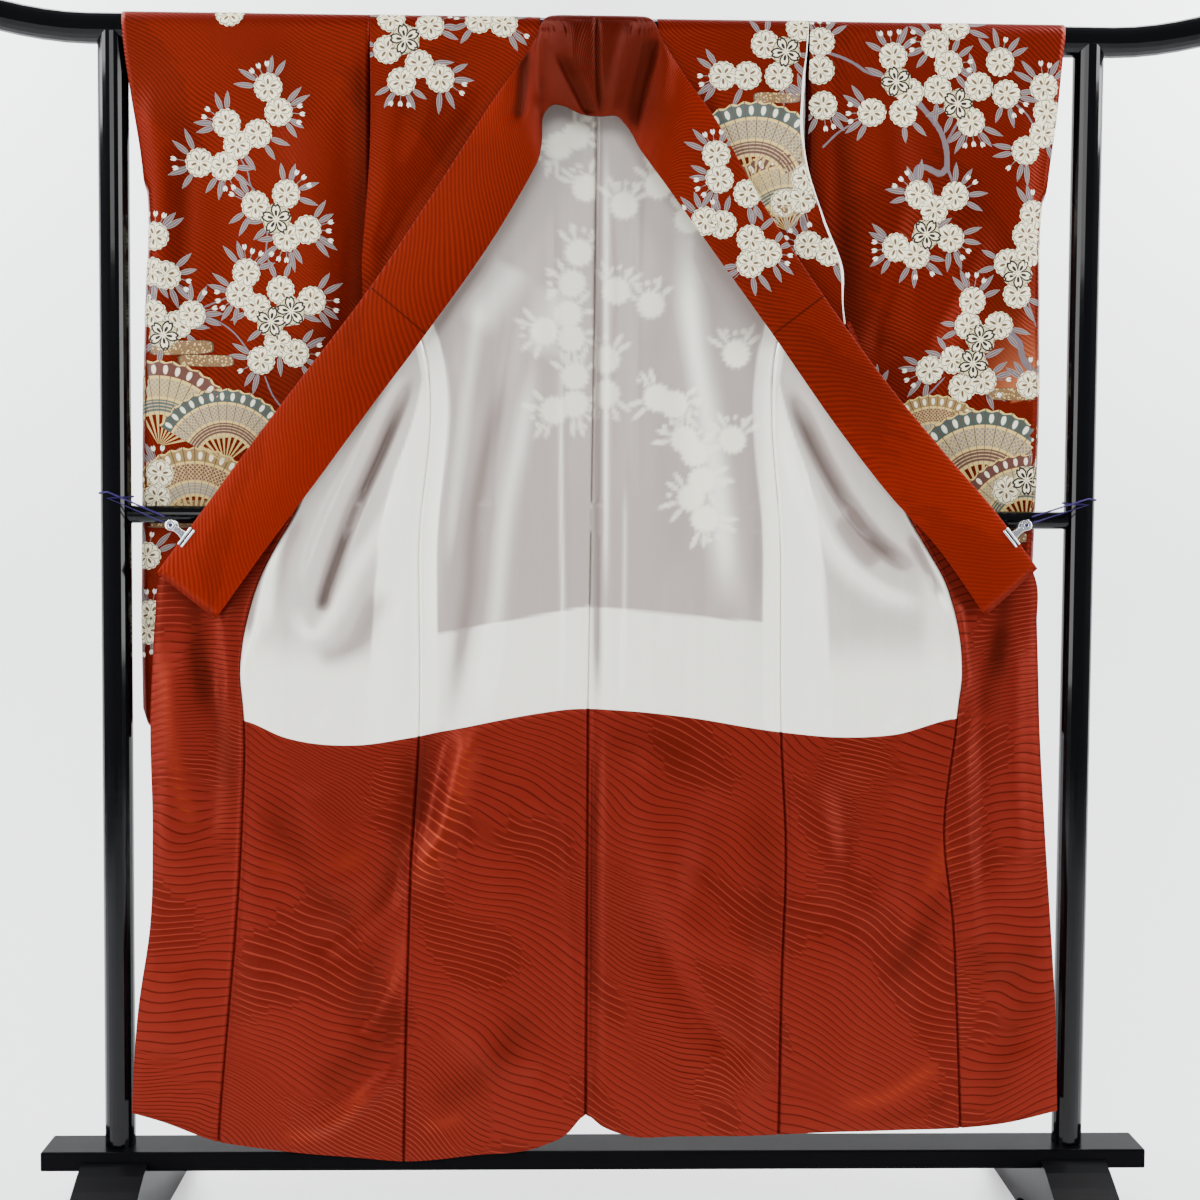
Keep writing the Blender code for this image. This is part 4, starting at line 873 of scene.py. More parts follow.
def makeFront(side, word):
    def inner(height):
        return frontInner(side, height) + side * garment["seamGap"]

    def outer(height):
        return frontOuter(side, height) - side * garment["seamGap"]

    def depth(x, z):
        return frontDepth(side, x, z)

    def lift(x, z):
        return liningLift(side, x, z)

    mesh = panelGrid("front " + word, inner, outer, crown, hemAt, depth, noLift, wrap=-1)
    remember("front_" + word, mesh)
    points = pointsOf(mesh)
    x, z = points[:, 0], np.minimum(points[:, 2], garment["railHeight"])
    # painted shade on the front panel along the band's inner edge, below the rail
    edge = np.exp(-((x - frontInner(side, z)) / 3.0) ** 2)
    edge *= smoothStep((z - 134) / 5) * smoothStep((172 - z) / 9)
    paint(mesh, "shade", 0.5 * edge)
    hangCloth("front", word, mesh, makeTurnedEdge if side > 0 else None)

    mesh = panelGrid("front lining " + word, inner, outer, garment["liningTopFront"], joinAt, depth, lift,
                     cell=0.45)
    paintLining(mesh, lambda x, z: frontSeeThroughAndShade(side, x, z))
    hangCloth("frontLining", word, mesh)

    mesh = clothBelow("front facing " + word, inner, outer, depth, lift)
    paintFacing(mesh)
    hangCloth("frontFacing", word, mesh)


def makeOkumi(side, word):
    def inner(height):
        return okumiSeam(side, height) + side * garment["seamGap"]

    def outer(height):
        return okumiFree(side, height)

    def depth(x, z):
        return frontDepth(side, x, z)

    def lift(x, z):
        return liningLift(side, x, z)

    mesh = panelGrid("okumi " + word, inner, outer, garment["okumiTop"], hemAt, depth, noLift)
    hangCloth("okumi", word, mesh)
    mesh = panelGrid("okumi facing " + word, inner, outer, garment["okumiTop"] - 0.4, hemAt, depth, lift,
                     skew=-0.52 if side < 0 else -0.7)
    paintFacing(mesh)
    hangCloth("okumiFacing", word, mesh)


for side, word in ((-1, "left"), (1, "right")):
    makeBack(side, word)
    makeFront(side, word)
    makeOkumi(side, word)
print("body panels made")


# painted shade where the cloth lies in the shade of the armhole or of a hollow: path, half width and strength
sleeveShades = [
   ([(-34.6, 173.5), (-34.7, 150), (-35.6, 128)], 1.7, 0.62),
    ([(-60.4, 164), (-60.7, 142.5), (-61.3, 122.5)], 1.7, 0.3), ([(-48, 174), (-44, 160)], 3, 0.2),
    ([(30.2, 173), (30.4, 152), (35.4, 138)], 1, 0.6),
    ([(33.5, 168), (35.2, 152), (35.6, 141), (36.2, 128)], 2, 0.55), ([(52, 158), (55, 148)], 3, 0.15),
]


def makeSleeve(side, word):
    inner = float(sideEdge(side, np.array([170.0]))[0]) + side * 0.05
    rail, radius = garment["railHeight"], garment["wrapRadius"]
    fall = rail - garment["sleeveBottom"]
    total = 2 * fall + math.pi * radius
    columns, rows = int(33 / garment["cell"]), int(total / garment["cell"])

    def outline(height):
        return side * curve(sleeveEdges, "height", "left" if side < 0 else "right", height)

    def bottom(x):
        corner = garment["cornerRadius"]
        edge = np.abs(outline(np.array([garment["sleeveBottom"] + corner]))[0])
        into = np.clip(corner - np.abs(np.abs(x) - edge), 0, None)
        return garment["sleeveBottom"] + corner - np.sqrt(corner ** 2 - into ** 2)

    def place(u, v):
        along = v * total
        front = along <= fall
        back = along >= total - fall
        angle = np.clip((along - fall) / radius, 0, math.pi)
        share = np.where(front, along / fall, (total - along) / fall)
        x = inner + u * (outline(np.full(u.shape, 120.0)) - inner)
        for _ in range(3):
            low = bottom(x)
            height = mix(low, rail, np.clip(share, 0, 1))
            height = np.where(front | back, height, rail + radius * np.sin(angle))
            x = inner + u * (outline(height) - inner)
        near = mix(curve(hangs, "height", "frontIn", height), curve(hangs, "height", "frontOut", height), u)
        far = mix(curve(hangs, "height", "backIn", height), curve(hangs, "height", "backOut", height), u)
        free = smoothStep(u / 0.12) * smoothStep((1 - u) / 0.1)
        wave = foldRise(sleeveFolds, x, height) * free * smoothStep((height - 108.0) / 14.0)
        wave *= smoothStep((rail - height) / 10.0)
        near, far = near - wave, far + 0.7 * wave
        rolled = np.exp(-((np.abs(x) - np.abs(inner)) / 1.8) ** 2) * smoothStep((height - 108.0) / 14.0)
        near = near + 0.55 * rolled * smoothStep((rail - height) / 8.0)
        # closed edges are rounded where front and back are sewn together
        toBottom = np.clip((height - low) / 1.1, 0, 1)
        shut = 1 - smoothStep((height - garment["cuffLow"] + 1.5) / 2.5)
        toEdge = mix(1.0, np.clip(np.abs(outline(height) - x) / 1.1, 0, 1), shut)
        plump = np.sqrt(1 - (1 - toBottom) ** 2) * np.sqrt(1 - (1 - toEdge) ** 2)
        middle, half = (near + far) / 2, (far - near) / 2 * plump
        y = np.where(front, middle - half, middle + half)
        y = np.where(front | back, y, -radius * np.cos(angle))
        return np.stack([x, y, height], axis=1), np.stack([x, along], axis=1)

    mesh = clothGrid("sleeve " + word, columns, rows, place)
    weld(mesh)
    remember("sleeve_" + word, mesh)
    points = pointsOf(mesh)
    x, z = points[:, 0], points[:, 2]
    # the outer part of the right sleeve turns peach half way down, on its front
    fade = 0.62 * np.exp(-(((x - 62.0) / 4.6) ** 2 + ((z - 121.0) / 8.5) ** 2)) * (side > 0)
    paint(mesh, "fade", fade * (points[:, 1] < 0.6))
    # painted shade along the armhole and the hollows, on the front only
    paint(mesh, "shade", foldRise(sleeveShades, x, z) * (points[:, 1] < 0.6))
    hangCloth("sleeve", word, mesh)


makeSleeve(-1, "left")
makeSleeve(1, "right")
print("sleeves made")


def collarPoint(t, u):
    # middle of the band at a share of its length and of its width
    count = len(collarStations["at"]) - 1
    top = garment["railHeight"] + garment["collarRadius"] * math.pi / 2
    at = t * count
    seamX, freeX = curve(collarStations, "at", "seamX", at), curve(collarStations, "at", "freeX", at)
    seamHeight = np.minimum(curve(collarStations, "at", "seamHeight", at), top)
    freeHeight = curve(collarStations, "at", "freeHeight", at)
    x, height = mix(seamX, freeX, u), mix(seamHeight, freeHeight, u)
    over = np.maximum(0.0, height - garment["railHeight"]) / garment["collarRadius"]
    neck = np.exp(-((at - 12.3) / 2.4) ** 2)
    y = curve(hangs, "height", "collar", np.minimum(height, garment["railHeight"]))
    y = y - 0.35 * np.sin(math.pi * u) * (1 - 0.7 * neck)
    y = np.where(over > 0, -garment["collarRadius"] * np.cos(over), y)
    z = np.minimum(height, garment["railHeight"]) + garment["collarRadius"] * np.sin(over)
    return np.stack([x, y, z], axis=-1)


# pleats where the band bends round the neck, as folds
neckPleats = [
   ([(-1.2, 178.5), (-1.1, 174.4), (-1, 169.2), (-0.4, 163.5)], 0.45, -0.5),
    ([(-3.6, 177.5), (-4.4, 172.5), (-5, 169)], 1.2, 0.45),
    ([(7.6, 175.2), (6.8, 171.4), (5.9, 168), (4.3, 160.6)], 1.75, -0.85, 0.3),
    ([(4, 177.5), (2.2, 170.4), (0.9, 164)], 1, 0.5),
    ([(-1.9, 162.8), (-4, 166.8), (-6.9, 172.4)], 1.5, -0.6, 0.3),
    ([(-9.4, 176), (-10, 169.4), (-9.1, 164.5)], 0.9, 0.5),
    ([(-11.2, 174), (-11.8, 167.4), (-12.6, 161.7)], 1.3, -0.5),
    ([(9.6, 174.5), (8.8, 170), (8.2, 164.5)], 1.1, 0.35),
]


def makeCollar():
    def place(u, v):
        # the rows lie closest at the neck, where the band is pleated
        v = v + 0.1 * np.sin(2 * math.pi * v)
        # across the band and back again round its thickness
        turn = u * 2
        across = np.where(turn <= 1, turn, 2 - turn)
        across = 0.5 - 0.5 * np.cos(math.pi * across)
        step = 0.0015
        here = collarPoint(v, across)
        along = collarPoint(np.clip(v + step, 0, 1), across) - collarPoint(np.clip(v - step, 0, 1), across)
        over = collarPoint(v, np.clip(across + step, 0, 1)) - collarPoint(v, np.clip(across - step, 0, 1))
        normal = np.cross(along, over)
        normal /= np.linalg.norm(normal, axis=1)[:, None]
        normal *= np.where(normal[:, 1:2] > 0.3, -1, 1) * np.where(normal[:, 2:3] < -0.6, -1, 1)
        edge = (1 - np.abs(2 * across - 1) ** 10) * (1 - np.abs(2 * v - 1) ** 260)
        half = garment["collarWall"] / 2 * np.sqrt(np.clip(edge, 0, 1))
        sign = np.where(turn <= 1, 1.0, -1.0)
        points = here + normal * (half * sign)[:, None]
        free = smoothStep(across / 0.08) * smoothStep((1 - across) / 0.05)
        points[:, 1] -= foldRise(neckPleats, points[:, 0], points[:, 2]) * (0.35 + 0.65 * free)
        return points, np.stack([across * 11.0 + np.where(turn > 1, 14, 0), v * 232.0], axis=1)

    mesh = clothGrid("collar band", 60, 380, place)
    weld(mesh, outwards=True)
    remember("collar", mesh)
    points = pointsOf(mesh)
    x, z = points[:, 0], points[:, 2]
    # painted shade: strong over the neck, lighter higher up the band, and more in the hollows of the neck
    # pleats
    neck = 0.8 * smoothStep((z - 157.0) / 9.0) * np.exp(-((x + 1.0) / 11.5) ** 4)
    neck += 0.3 * smoothStep((z - 110.0) / 20.0) * (1 - smoothStep((z - 157.0) / 9.0))
    hollows = [(fold[0], fold[1], -fold[2], *fold[3:]) for fold in neckPleats if fold[2] < 0]
    paint(mesh, "shade", np.clip(neck + 0.6 * smoothStep((foldRise(hollows, x, z) - 0.2) / 0.3), 0, 0.95))
    cloth = addPiece("collarBand", mesh, silkCollar)
    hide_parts("collar")


makeCollar()
print("collar made")


# dyed blossoms, leaves and twigs
motifs = {
    "blossomRadius": 2.1, "outlinedRadius": 2.3, "lobes": 14, "petals": 5, "reach": 5.2, "turns": 6.28,
    "leafLength": 2.9, "leafWidth": 0.78, "budLength": 0.95, "budWidth": 0.66, "stemWidth": 0.12,
    "twigLift": 0.05, "leafLift": 0.06, "mistLift": 0.062, "budLift": 0.063, "fanLift": 0.066,
    "blossomLift": 0.078, "outlinedLift": 0.086,
}
# centres: x, height along the cloth, 1 where the petals are outlined
sleeveLeftBlossoms = [
   (-48, 167, 0), (-46.5, 163.5, 0), (-54, 162, 0), (-49.5, 160.5, 0), (-52.5, 159, 0), (-58, 156.5, 0),
    (-54.5, 156, 0), (-50, 150.5, 0), (-45.5, 152, 0), (-42.5, 147, 0), (-45.5, 146, 0), (-47, 148.5, 1),
    (-51.5, 141, 0), (-52.5, 138, 0), (-46.5, 138.5, 0), (-50, 136, 0), (-42, 137, 0), (-47, 131, 0),
    (-49.5, 128.5, 0), (-44.5, 129.5, 0), (-45, 135.5, 1), (-48, 134, 1), (-64.5, 146, 0), (-65, 141, 0),
    (-63, 140.5, 0), (-65, 135, 0), (-59.5, 135, 0), (-61.5, 133.5, 0), (-63.5, 132, 1), (-53.5, 177.5, 0),
    (-64.5, 112, 0), (-65, 108.5, 0), (-66.5, 100, 0), (-66, 91.5, 0), (-66.5, 89, 0), (-36, 128, 0),
]
sleeveRightBlossoms = [
   (31, 174.5, 0), (31, 170.5, 0), (31.5, 165.5, 0), (41.5, 172.5, 0), (47.5, 174.5, 0), (50.5, 177, 0),
    (49.5, 171.5, 0), (44, 167.5, 0), (48, 168, 0), (54, 168.5, 0), (58, 167.5, 0), (57, 172, 0),
    (53, 163.5, 0), (38.5, 164.5, 0), (43, 164.5, 0), (63.5, 168.5, 0), (64, 165, 0), (63.5, 162, 0),
    (61, 159.5, 0), (45.5, 153, 0), (51, 153, 0), (48, 151, 0), (42.5, 145.5, 0), (45.5, 144.5, 0),
    (50.5, 147, 0), (62.5, 150.5, 0), (61.5, 147.5, 0), (62, 145, 0), (59, 143.5, 0), (60.5, 139, 0),
    (54, 138, 0), (53.5, 134.5, 0), (58, 134.5, 0), (51.5, 129.5, 0), (48, 128, 0), (56, 126.5, 0),
    (53, 125.5, 0), (63, 126, 0), (42, 169, 1), (51, 166, 1), (47, 147.5, 1), (60.5, 142, 1),
    (55.5, 132.5, 1), (54.5, 129, 1), (60, 110.5, 0), (63, 112, 1), (40, 124, 0),
]
frontLeftBlossoms = [
   (-30.5, 177, 0), (-31, 172.5, 0), (-25, 176, 0), (-26.5, 170.5, 0), (-29, 168, 0), (-23.5, 168.5, 0),
    (-18, 177, 0), (-14.5, 176.5, 0), (-28.5, 174, 1),
]
frontRightBlossoms = [
   (23, 174, 0), (28, 176.5, 0), (17, 169.5, 0), (20.5, 169.5, 0), (25, 169.5, 0), (26, 173, 1),
    (26, 151.5, 0), (28.5, 152, 0), (29, 155, 0), (32.5, 144.5, 0), (29.5, 145.5, 0), (29, 165, 0),
]
collarBlossoms = [
   (16, 158, 0), (16.5, 154.5, 0), (20.5, 152.5, 0), (14.5, 148.5, 0), (17, 148, 0), (21, 146, 0),
    (23.5, 144, 0), (21, 142.5, 0),
]
ghostBlossoms = [
   (-4, 161.5), (-6.5, 160), (-2.5, 154), (3, 151.5), (-3.5, 144.5), (-4.5, 140), (-5, 135.5), (2, 139),
    (-8.5, 133), (-4.5, 132), (-4, 126.5), (0.5, 129), (0.5, 124), (-4, 122.5), (-7, 121.5), (7, 137),
    (8, 154.5), (12.5, 149.5), (8, 123.5), (10.5, 122.5), (12, 117.5), (13.5, 115.5), (13, 109), (19.5, 130),
    (19, 117.5), (14.5, 111.5), (15, 106),
]
# twigs: width, then points of x and height
sleeveLeftTwigs = [
   (0.22, [(-52, 154.5), (-51, 153.5), (-50, 152.5)]),
    (0.22, [(-52, 157), (-51, 155), (-50.8, 153.8), (-50.3, 152.5)]),
    (0.26, [(-48.3, 147), (-48.6, 144), (-49.3, 142)]),
    (0.22, [(-58.5, 135), (-56, 134.2), (-53.5, 132.5), (-51.3, 129.8)]),
    (0.26, [(-58.5, 135.7), (-56, 136.8), (-54, 137.6)]), (0.24, [(-49, 126.2), (-47.9, 123.5), (-46, 121)]),
]
sleeveRightTwigs = [
   (0.42, [(30.6, 173.3), (33.8, 172.4), (36, 171.4), (37.7, 170.3), (39.8, 169.7)]),
    (0.8, [(45.3, 166), (47.3, 163.8), (48.6, 162), (49.5, 159.5), (49.7, 156.6)]),
    (0.45, [(49.6, 157.2), (50.6, 155), (51, 154)]),
    (0.9, [(49.8, 157.2), (48.7, 156.1), (46.5, 156.9), (45.2, 156.5), (45, 154.4)]),
    (0.38, [(49.5, 160.4), (50.3, 162), (51.2, 163.6)]), (0.26, [(59.6, 166), (61, 164.7), (62.1, 163)]),
    (0.3, [(31.5, 159.5), (33.6, 161.6), (35.5, 162.8)]),
    (0.95, [(58.8, 134.4), (61, 132), (61.9, 129.5), (64.6, 126.6)]),
    (0.24, [(61.6, 139), (62.6, 137), (63.6, 134.4)]), (0.26, [(43.5, 121.2), (47.5, 124), (50.4, 127)]),
]
# folding fans: x, height, radius, direction of the open side and dye
fans = {
    "sleeveLeft": [(-59.5, 104.5, 11.5, 1.95, 2), (-64.5, 116, 12.5, 1.15, 0), (-55, 113.5, 11, 1.6, 1)],
    "sleeveRight": [(49, 115, 9.5, 1.6, 2), (56.5, 109.5, 13, 1.8, 1), (63, 105, 11, 1.75, 0)],
    "frontRight": [(26.5, 147.5, 11.5, 1.8, 0), (21.5, 153.5, 12.5, 1.45, 1)],
}
# gold mist bands: x, height, half width, half height and turn
mists = {
    "sleeveLeft": [(-61, 130.2, 4.6, 1, 0.05), (-57.5, 128.4, 4, 0.85, 0), (-61, 107.2, 5.6, 1, 0),
                   (-63.5, 104.9, 3.6, 0.8, 0)],
    "sleeveRight": [(60.5, 124.6, 3.8, 0.9, 0), (56.4, 105.8, 6, 1, 0), (60.5, 103.6, 4, 0.8, 0),
                    (50, 121, 4.6, 0.85, 0.1)],
    "frontRight": [(24, 150.4, 4.2, 0.9, 0), (24.8, 166.4, 3.4, 0.75, 0)],
}


def inkNode(tree, edge, soft, value, tone, base):
    # draws a tone over the base where the value falls below an edge
    mask = addNode(tree, "MapRange", (value, edge, edge + soft, 1.0, 0.0))[0]
    return layTones(tree, base, (mask, tone))


def lengthOf(tree, a, b):
    squares = [addNode(tree, "Math", (part, part), operation="MULTIPLY")[0] for part in (a, b)]
    total = addNode(tree, "Math", squares, operation="ADD")[0]
    return addNode(tree, "Math", (total,), operation="SQRT")[0]


def motifPlace(tree):
    # a place on the motif: across and along it, from -1 to 1, and its distance from the middle
    split = addNode(tree, "SeparateXYZ", (addNode(tree, "UVMap", uv_map="motif")[0],))
    across, along = (addNode(tree, "Math", (part, 2.0, -1.0), operation="MULTIPLY_ADD")[0]
                     for part in split[:2])
    return across, along, lengthOf(tree, across, along)


def spoke(tree, angle, share, shift=0.0):
    # distances beside and along the nearest of the petals' middle lines
    petals = motifs["petals"]
    part = addNode(tree, "Math", (angle, petals / (2 * math.pi), shift), operation="MULTIPLY_ADD")[0]
    part = addNode(tree, "Math", (part,), operation="FRACT")[0]
    part = addNode(tree, "Math", (part, 0.5), operation="SUBTRACT")[0]
    turned = addNode(tree, "Math", (part, 2 * math.pi / petals), operation="MULTIPLY")[0]
    ways = [addNode(tree, "Math", (turned,), operation=way)[0] for way in ("SINE", "COSINE")]
    return [addNode(tree, "Math", (way, share), operation="MULTIPLY")[0] for way in ways]


def dropShape(tree, side, out, middle, length, width):
    # the square of the distance from the middle of an oval drop, 1 at its edge
    out = addNode(tree, "Math", (out, middle), operation="SUBTRACT")[0]
    out = addNode(tree, "Math", (out, length), operation="DIVIDE")[0]
    side = addNode(tree, "Math", (side, width), operation="DIVIDE")[0]
    squares = [addNode(tree, "Math", (part, part), operation="MULTIPLY")[0] for part in (out, side)]
    return addNode(tree, "Math", squares, operation="ADD")[0]


# Paste-resist dyeing on silk: flat ivory with hair-fine drawn petals and a soft sheen
def dyedBlossom(name, ground, petal, ink, drops, thick):
    mat, tree, shader = newMaterial(name, Roughness=0.5, Specular_IOR_Level=0.3)
    across, along, share = motifPlace(tree)
    angle = addNode(tree, "Math", (along, across), operation="ARCTAN2")[0]
    place = addNode(tree, "TexCoord")[3]
    base = mottled(tree, place, 40.0, 2.0, ground, "#ddd4b2")
    # five petals behind, half a step round, show as arcs between the front ones
    widest = 0.56
    for shift, reach, width, line, fill in ((0.5, 0.98, 0.34, 0.035, ground),
                                            (0.0, 0.94, 0.315, thick, petal)):
        side, out = spoke(tree, angle, share, shift)
        notch = addNode(tree, "Math", (side,), operation="ABSOLUTE")[0]
        notch = addNode(tree, "Math", (0.075, notch), operation="SUBTRACT")[0]
        notch = addNode(tree, "Math", (notch, 0.0), operation="MAXIMUM")[0]
        out = addNode(tree, "Math", (notch, 1.1, out), operation="MULTIPLY_ADD")[0]
        out = addNode(tree, "Math", (out, widest), operation="SUBTRACT")[0]
        beyond = addNode(tree, "Math", (out, 0.0), operation="MAXIMUM")[0]
        beyond = addNode(tree, "Math", (beyond, reach - widest), operation="DIVIDE")[0]
        within = addNode(tree, "Math", (out, 0.0), operation="MINIMUM")[0]
        taper = addNode(tree, "Math", (within, width * 1.62, width), operation="MULTIPLY_ADD")[0]
        side = addNode(tree, "Math", (side, taper), operation="DIVIDE")[0]
        egg = lengthOf(tree, beyond, side)
        base = inkNode(tree, 0.99, 0.02, egg, fill, base)
        base = inkNode(tree, line, 0.06, apart(tree, egg, 1.0), ink, base)
    side, out = spoke(tree, angle, share)
    base = inkNode(tree, 0.8, 0.4, dropShape(tree, side, out, 0.41, 0.21, 0.095), drops, base)
    base = inkNode(tree, 0.06, 0.05, share, "#e3cf96", base)
    # crepe threads, drawn at about 0.9 mm as on the silk
    crepe = addNode(tree, "TexNoise", {"Vector": place, "Scale": 1100.0, "Detail": 1.0})[0]
    finishSurface(tree, shader, base, crepe, 0.00004)
    return mat


# Grey-violet dye: leaves with a pale vein and edge, and plain twigs
def dyedLeaf(name, ground, vein):
    mat, tree, shader = newMaterial(name, Roughness=0.5, Specular_IOR_Level=0.3)
    base = mottled(tree, addNode(tree, "TexCoord")[3], 55.0, 2.0, ground, "#594c4d")
    middle = addNode(tree, "Math", (motifPlace(tree)[0],), operation="ABSOLUTE")[0]
    base = inkNode(tree, 0.05, 0.06, middle, vein, base)
    base = inkNode(tree, 0.1, 0.12, apart(tree, middle, 1.0), vein, base)
    finishSurface(tree, shader, base)
    return mat


# Paste-resist dye and gold on silk: three bands of pattern over gold sticks, a dark line at each pleat
def dyedFan(name, outer, middle, inner):
    mat, tree, shader = newMaterial(name, Roughness=0.45, Sheen_Weight=0.15, Sheen_Roughness=0.5)
    uv = addNode(tree, "UVMap", uv_map="motif")[0]
    turn, out = addNode(tree, "SeparateXYZ", (uv,))[:2]
    pleat = addNode(tree, "Math", (turn, 13.0), operation="MULTIPLY")[0]
    across = fromLine(tree, pleat)
    cloud = addNode(tree, "TexNoise", {"Vector": uv, "Scale": 14.0, "Detail": 2.0})[0]
    cloud = addNode(tree, "Math", (cloud, 0.3), operation="MULTIPLY")[0]
    # drops along the outer band
    beside = addNode(tree, "Math", (across, 0.2), operation="MULTIPLY")[0]
    base = layTones(tree, srgb(outer), (cloud, "#6a5236"))
    base = inkNode(tree, 0.7, 0.5, dropShape(tree, beside, out, 0.89, 0.055, 0.04), "#e9e2c8", base)
    # trellis of crossing gold lines over the middle band
    along = addNode(tree, "Math", (turn, 26.0), operation="MULTIPLY")[0]
    runs = [addNode(tree, "Math", (out, way, along), operation="MULTIPLY_ADD")[0] for way in (17.6, -17.6)]
    lattice = addNode(tree, "Math", [fromLine(tree, run) for run in runs], operation="MINIMUM")[0]
    trellis = inkNode(tree, 0.07, 0.06, lattice, "#c8ac66", layTones(tree, srgb(middle), (cloud, "#8a7c66")))
    # gold rings over the inner band
    rings = addNode(tree, "Math", (out, 26.0), operation="MULTIPLY")[0]
    inside = layTones(tree, srgb(inner), (cloud, "#7a6c5c"))
    inside = inkNode(tree, 0.1, 0.1, fromLine(tree, rings), "#b9a06a", inside)
    for edge, lower in ((0.8, trellis), (0.56, inside)):
        below = addNode(tree, "Math", (out, edge), operation="LESS_THAN")[0]
        base = addNode(tree, "Mix", {"Factor": below, 6: base, 7: lower}, data_type="RGBA")[2]
    for edge in (0.99, 0.8, 0.56, 0.385):
        base = inkNode(tree, 0.012, 0.008, apart(tree, out, edge), "#d0b266", base)
    crease = addNode(tree, "Math", (0.5, across), operation="SUBTRACT")[0]
    base = inkNode(tree, 0.03, 0.03, crease, "#4a2c14", base)
    base = inkNode(tree, 0.37, 0.004, out, "#bd9f5c", base)
    finishSurface(tree, shader, base)
    return mat


# Pasted gold: a fine brown curl pattern and a dark outline
def goldMist(name):
    mat, tree, shader = newMaterial(name, Roughness=0.42, Sheen_Weight=0.1, Sheen_Roughness=0.5)
    curls = addNode(tree, "TexVoronoi", {"Vector": addNode(tree, "TexCoord")[3], "Scale": 260.0})[0]
    mask = addNode(tree, "MapRange", (curls, 0.28, 0.42))[0]
    rim = addNode(tree, "Math", (1.0, motifPlace(tree)[2]), operation="SUBTRACT")[0]
    base = inkNode(tree, 0.05, 0.03, rim, "#3a2412", layTones(tree, srgb("#cdb274"), (mask, "#6e4f28")))
    finishSurface(tree, shader, base)
    return mat


# Two petals closed, with a line between them and a taupe cup below
def dyedBud(name):
    mat, tree, shader = newMaterial(name, Roughness=0.5, Specular_IOR_Level=0.3)
    across, along, _ = motifPlace(tree)
    base = mottled(tree, addNode(tree, "TexCoord")[3], 60.0, 2.0, "#ece9dc", "#dcd8c6")
    across = addNode(tree, "Math", (across,), operation="ABSOLUTE")[0]
    above = addNode(tree, "Math", (0.1, along), operation="SUBTRACT")[0]
    split = addNode(tree, "Math", (across, above), operation="MAXIMUM")[0]
    base = inkNode(tree, 0.05, 0.08, split, "#9a9686", base)
    base = inkNode(tree, -0.62, 0.1, along, "#867a6c", base)
    finishSurface(tree, shader, base)
    return mat


blossomDye = dyedBlossom("Paste-resist dye, ivory blossom", "#f2e8c4", "#f4eac8", "#4e4c38", "#5f4a2c", 0.055)
outlinedDye = dyedBlossom("Paste-resist dye, outlined blossom", "#cfc398", "#f4e9c6", "#160c06", "#160c06",
                          0.19)
leafDye = dyedLeaf("Grey-violet dye, leaf", "#64595c", "#a39894")
twigDye = dyedLeaf("Grey-violet dye, twig", "#6a5f66", "#62575f")
budDye = dyedBud("Paste-resist dye, bud")
fanDyes = [
    dyedFan("Paste-resist dye, red fan", "#4e0904", "#8f8468", "#1f4644"),
    dyedFan("Paste-resist dye, teal fan", "#143c3c", "#77706a", "#4a0c06"),
    dyedFan("Paste-resist dye, gold fan", "#8a6c30", "#5a1009", "#8d8678"),
]
mistDye = goldMist("Pasted gold, mist band")


def squareUvs(bm):
    # each corner's place on a motif that fills the square from -1 to 1
    layer = bm.loops.layers.uv.new("motif")
    for face in bm.faces:
        for loop in face.loops:
            loop[layer].uv = (loop.vert.co.x * 0.5 + 0.5, loop.vert.co.y * 0.5 + 0.5)


def flatMotif(name, size, outline, rows):
    # a shape about 2 across: rings from the middle to the outline
    bm = bmesh.new()
    bmesh.ops.create_circle(bm, cap_ends=True, cap_tris=False, segments=size, radius=1.0)
    face = bm.faces[:]
    for _ in range(rows):
        bmesh.ops.inset_region(bm, faces=face, thickness=0.99 / (rows + 1), use_boundary=True,
                               use_even_offset=False)
    bmesh.ops.poke(bm, faces=face)
    bmesh.ops.recalc_face_normals(bm, faces=bm.faces[:])
    squareUvs(bm)
    for vert in bm.verts:
        vert.co.xy = vert.co.xy * outline(math.atan2(vert.co.y, vert.co.x))
    return meshFrom(bm, name)


def scallops(turn):
    return 0.96 + 0.05 * math.cos(turn * motifs["lobes"])


def notchedPetals(turn):
    part = turn * motifs["petals"] / (2 * math.pi) % 1.0
    notch = math.exp(-((part - 0.5) / 0.05) ** 2)
    return 0.86 + 0.14 * math.sin(math.pi * part) ** 2 - 0.09 * notch


def roundedBand(turn):
    return 1.0 / (abs(math.cos(turn)) ** 5 + abs(math.sin(turn)) ** 5) ** 0.2


def leafStrip(name, parts, shape, notch=0.0):
    # a strip along +y whose half width comes from shape(share)
    bm = bmesh.new()
    bmesh.ops.create_grid(bm, x_segments=2, y_segments=parts, size=1.0)
    squareUvs(bm)
    for vert in bm.verts:
        share = vert.co.y * 0.5 + 0.5
        dip = notch * (1 - abs(vert.co.x)) if share > 0.99 else 0.0
        vert.co = (vert.co.x * shape(share), share - dip, 0)
    return meshFrom(bm, name)


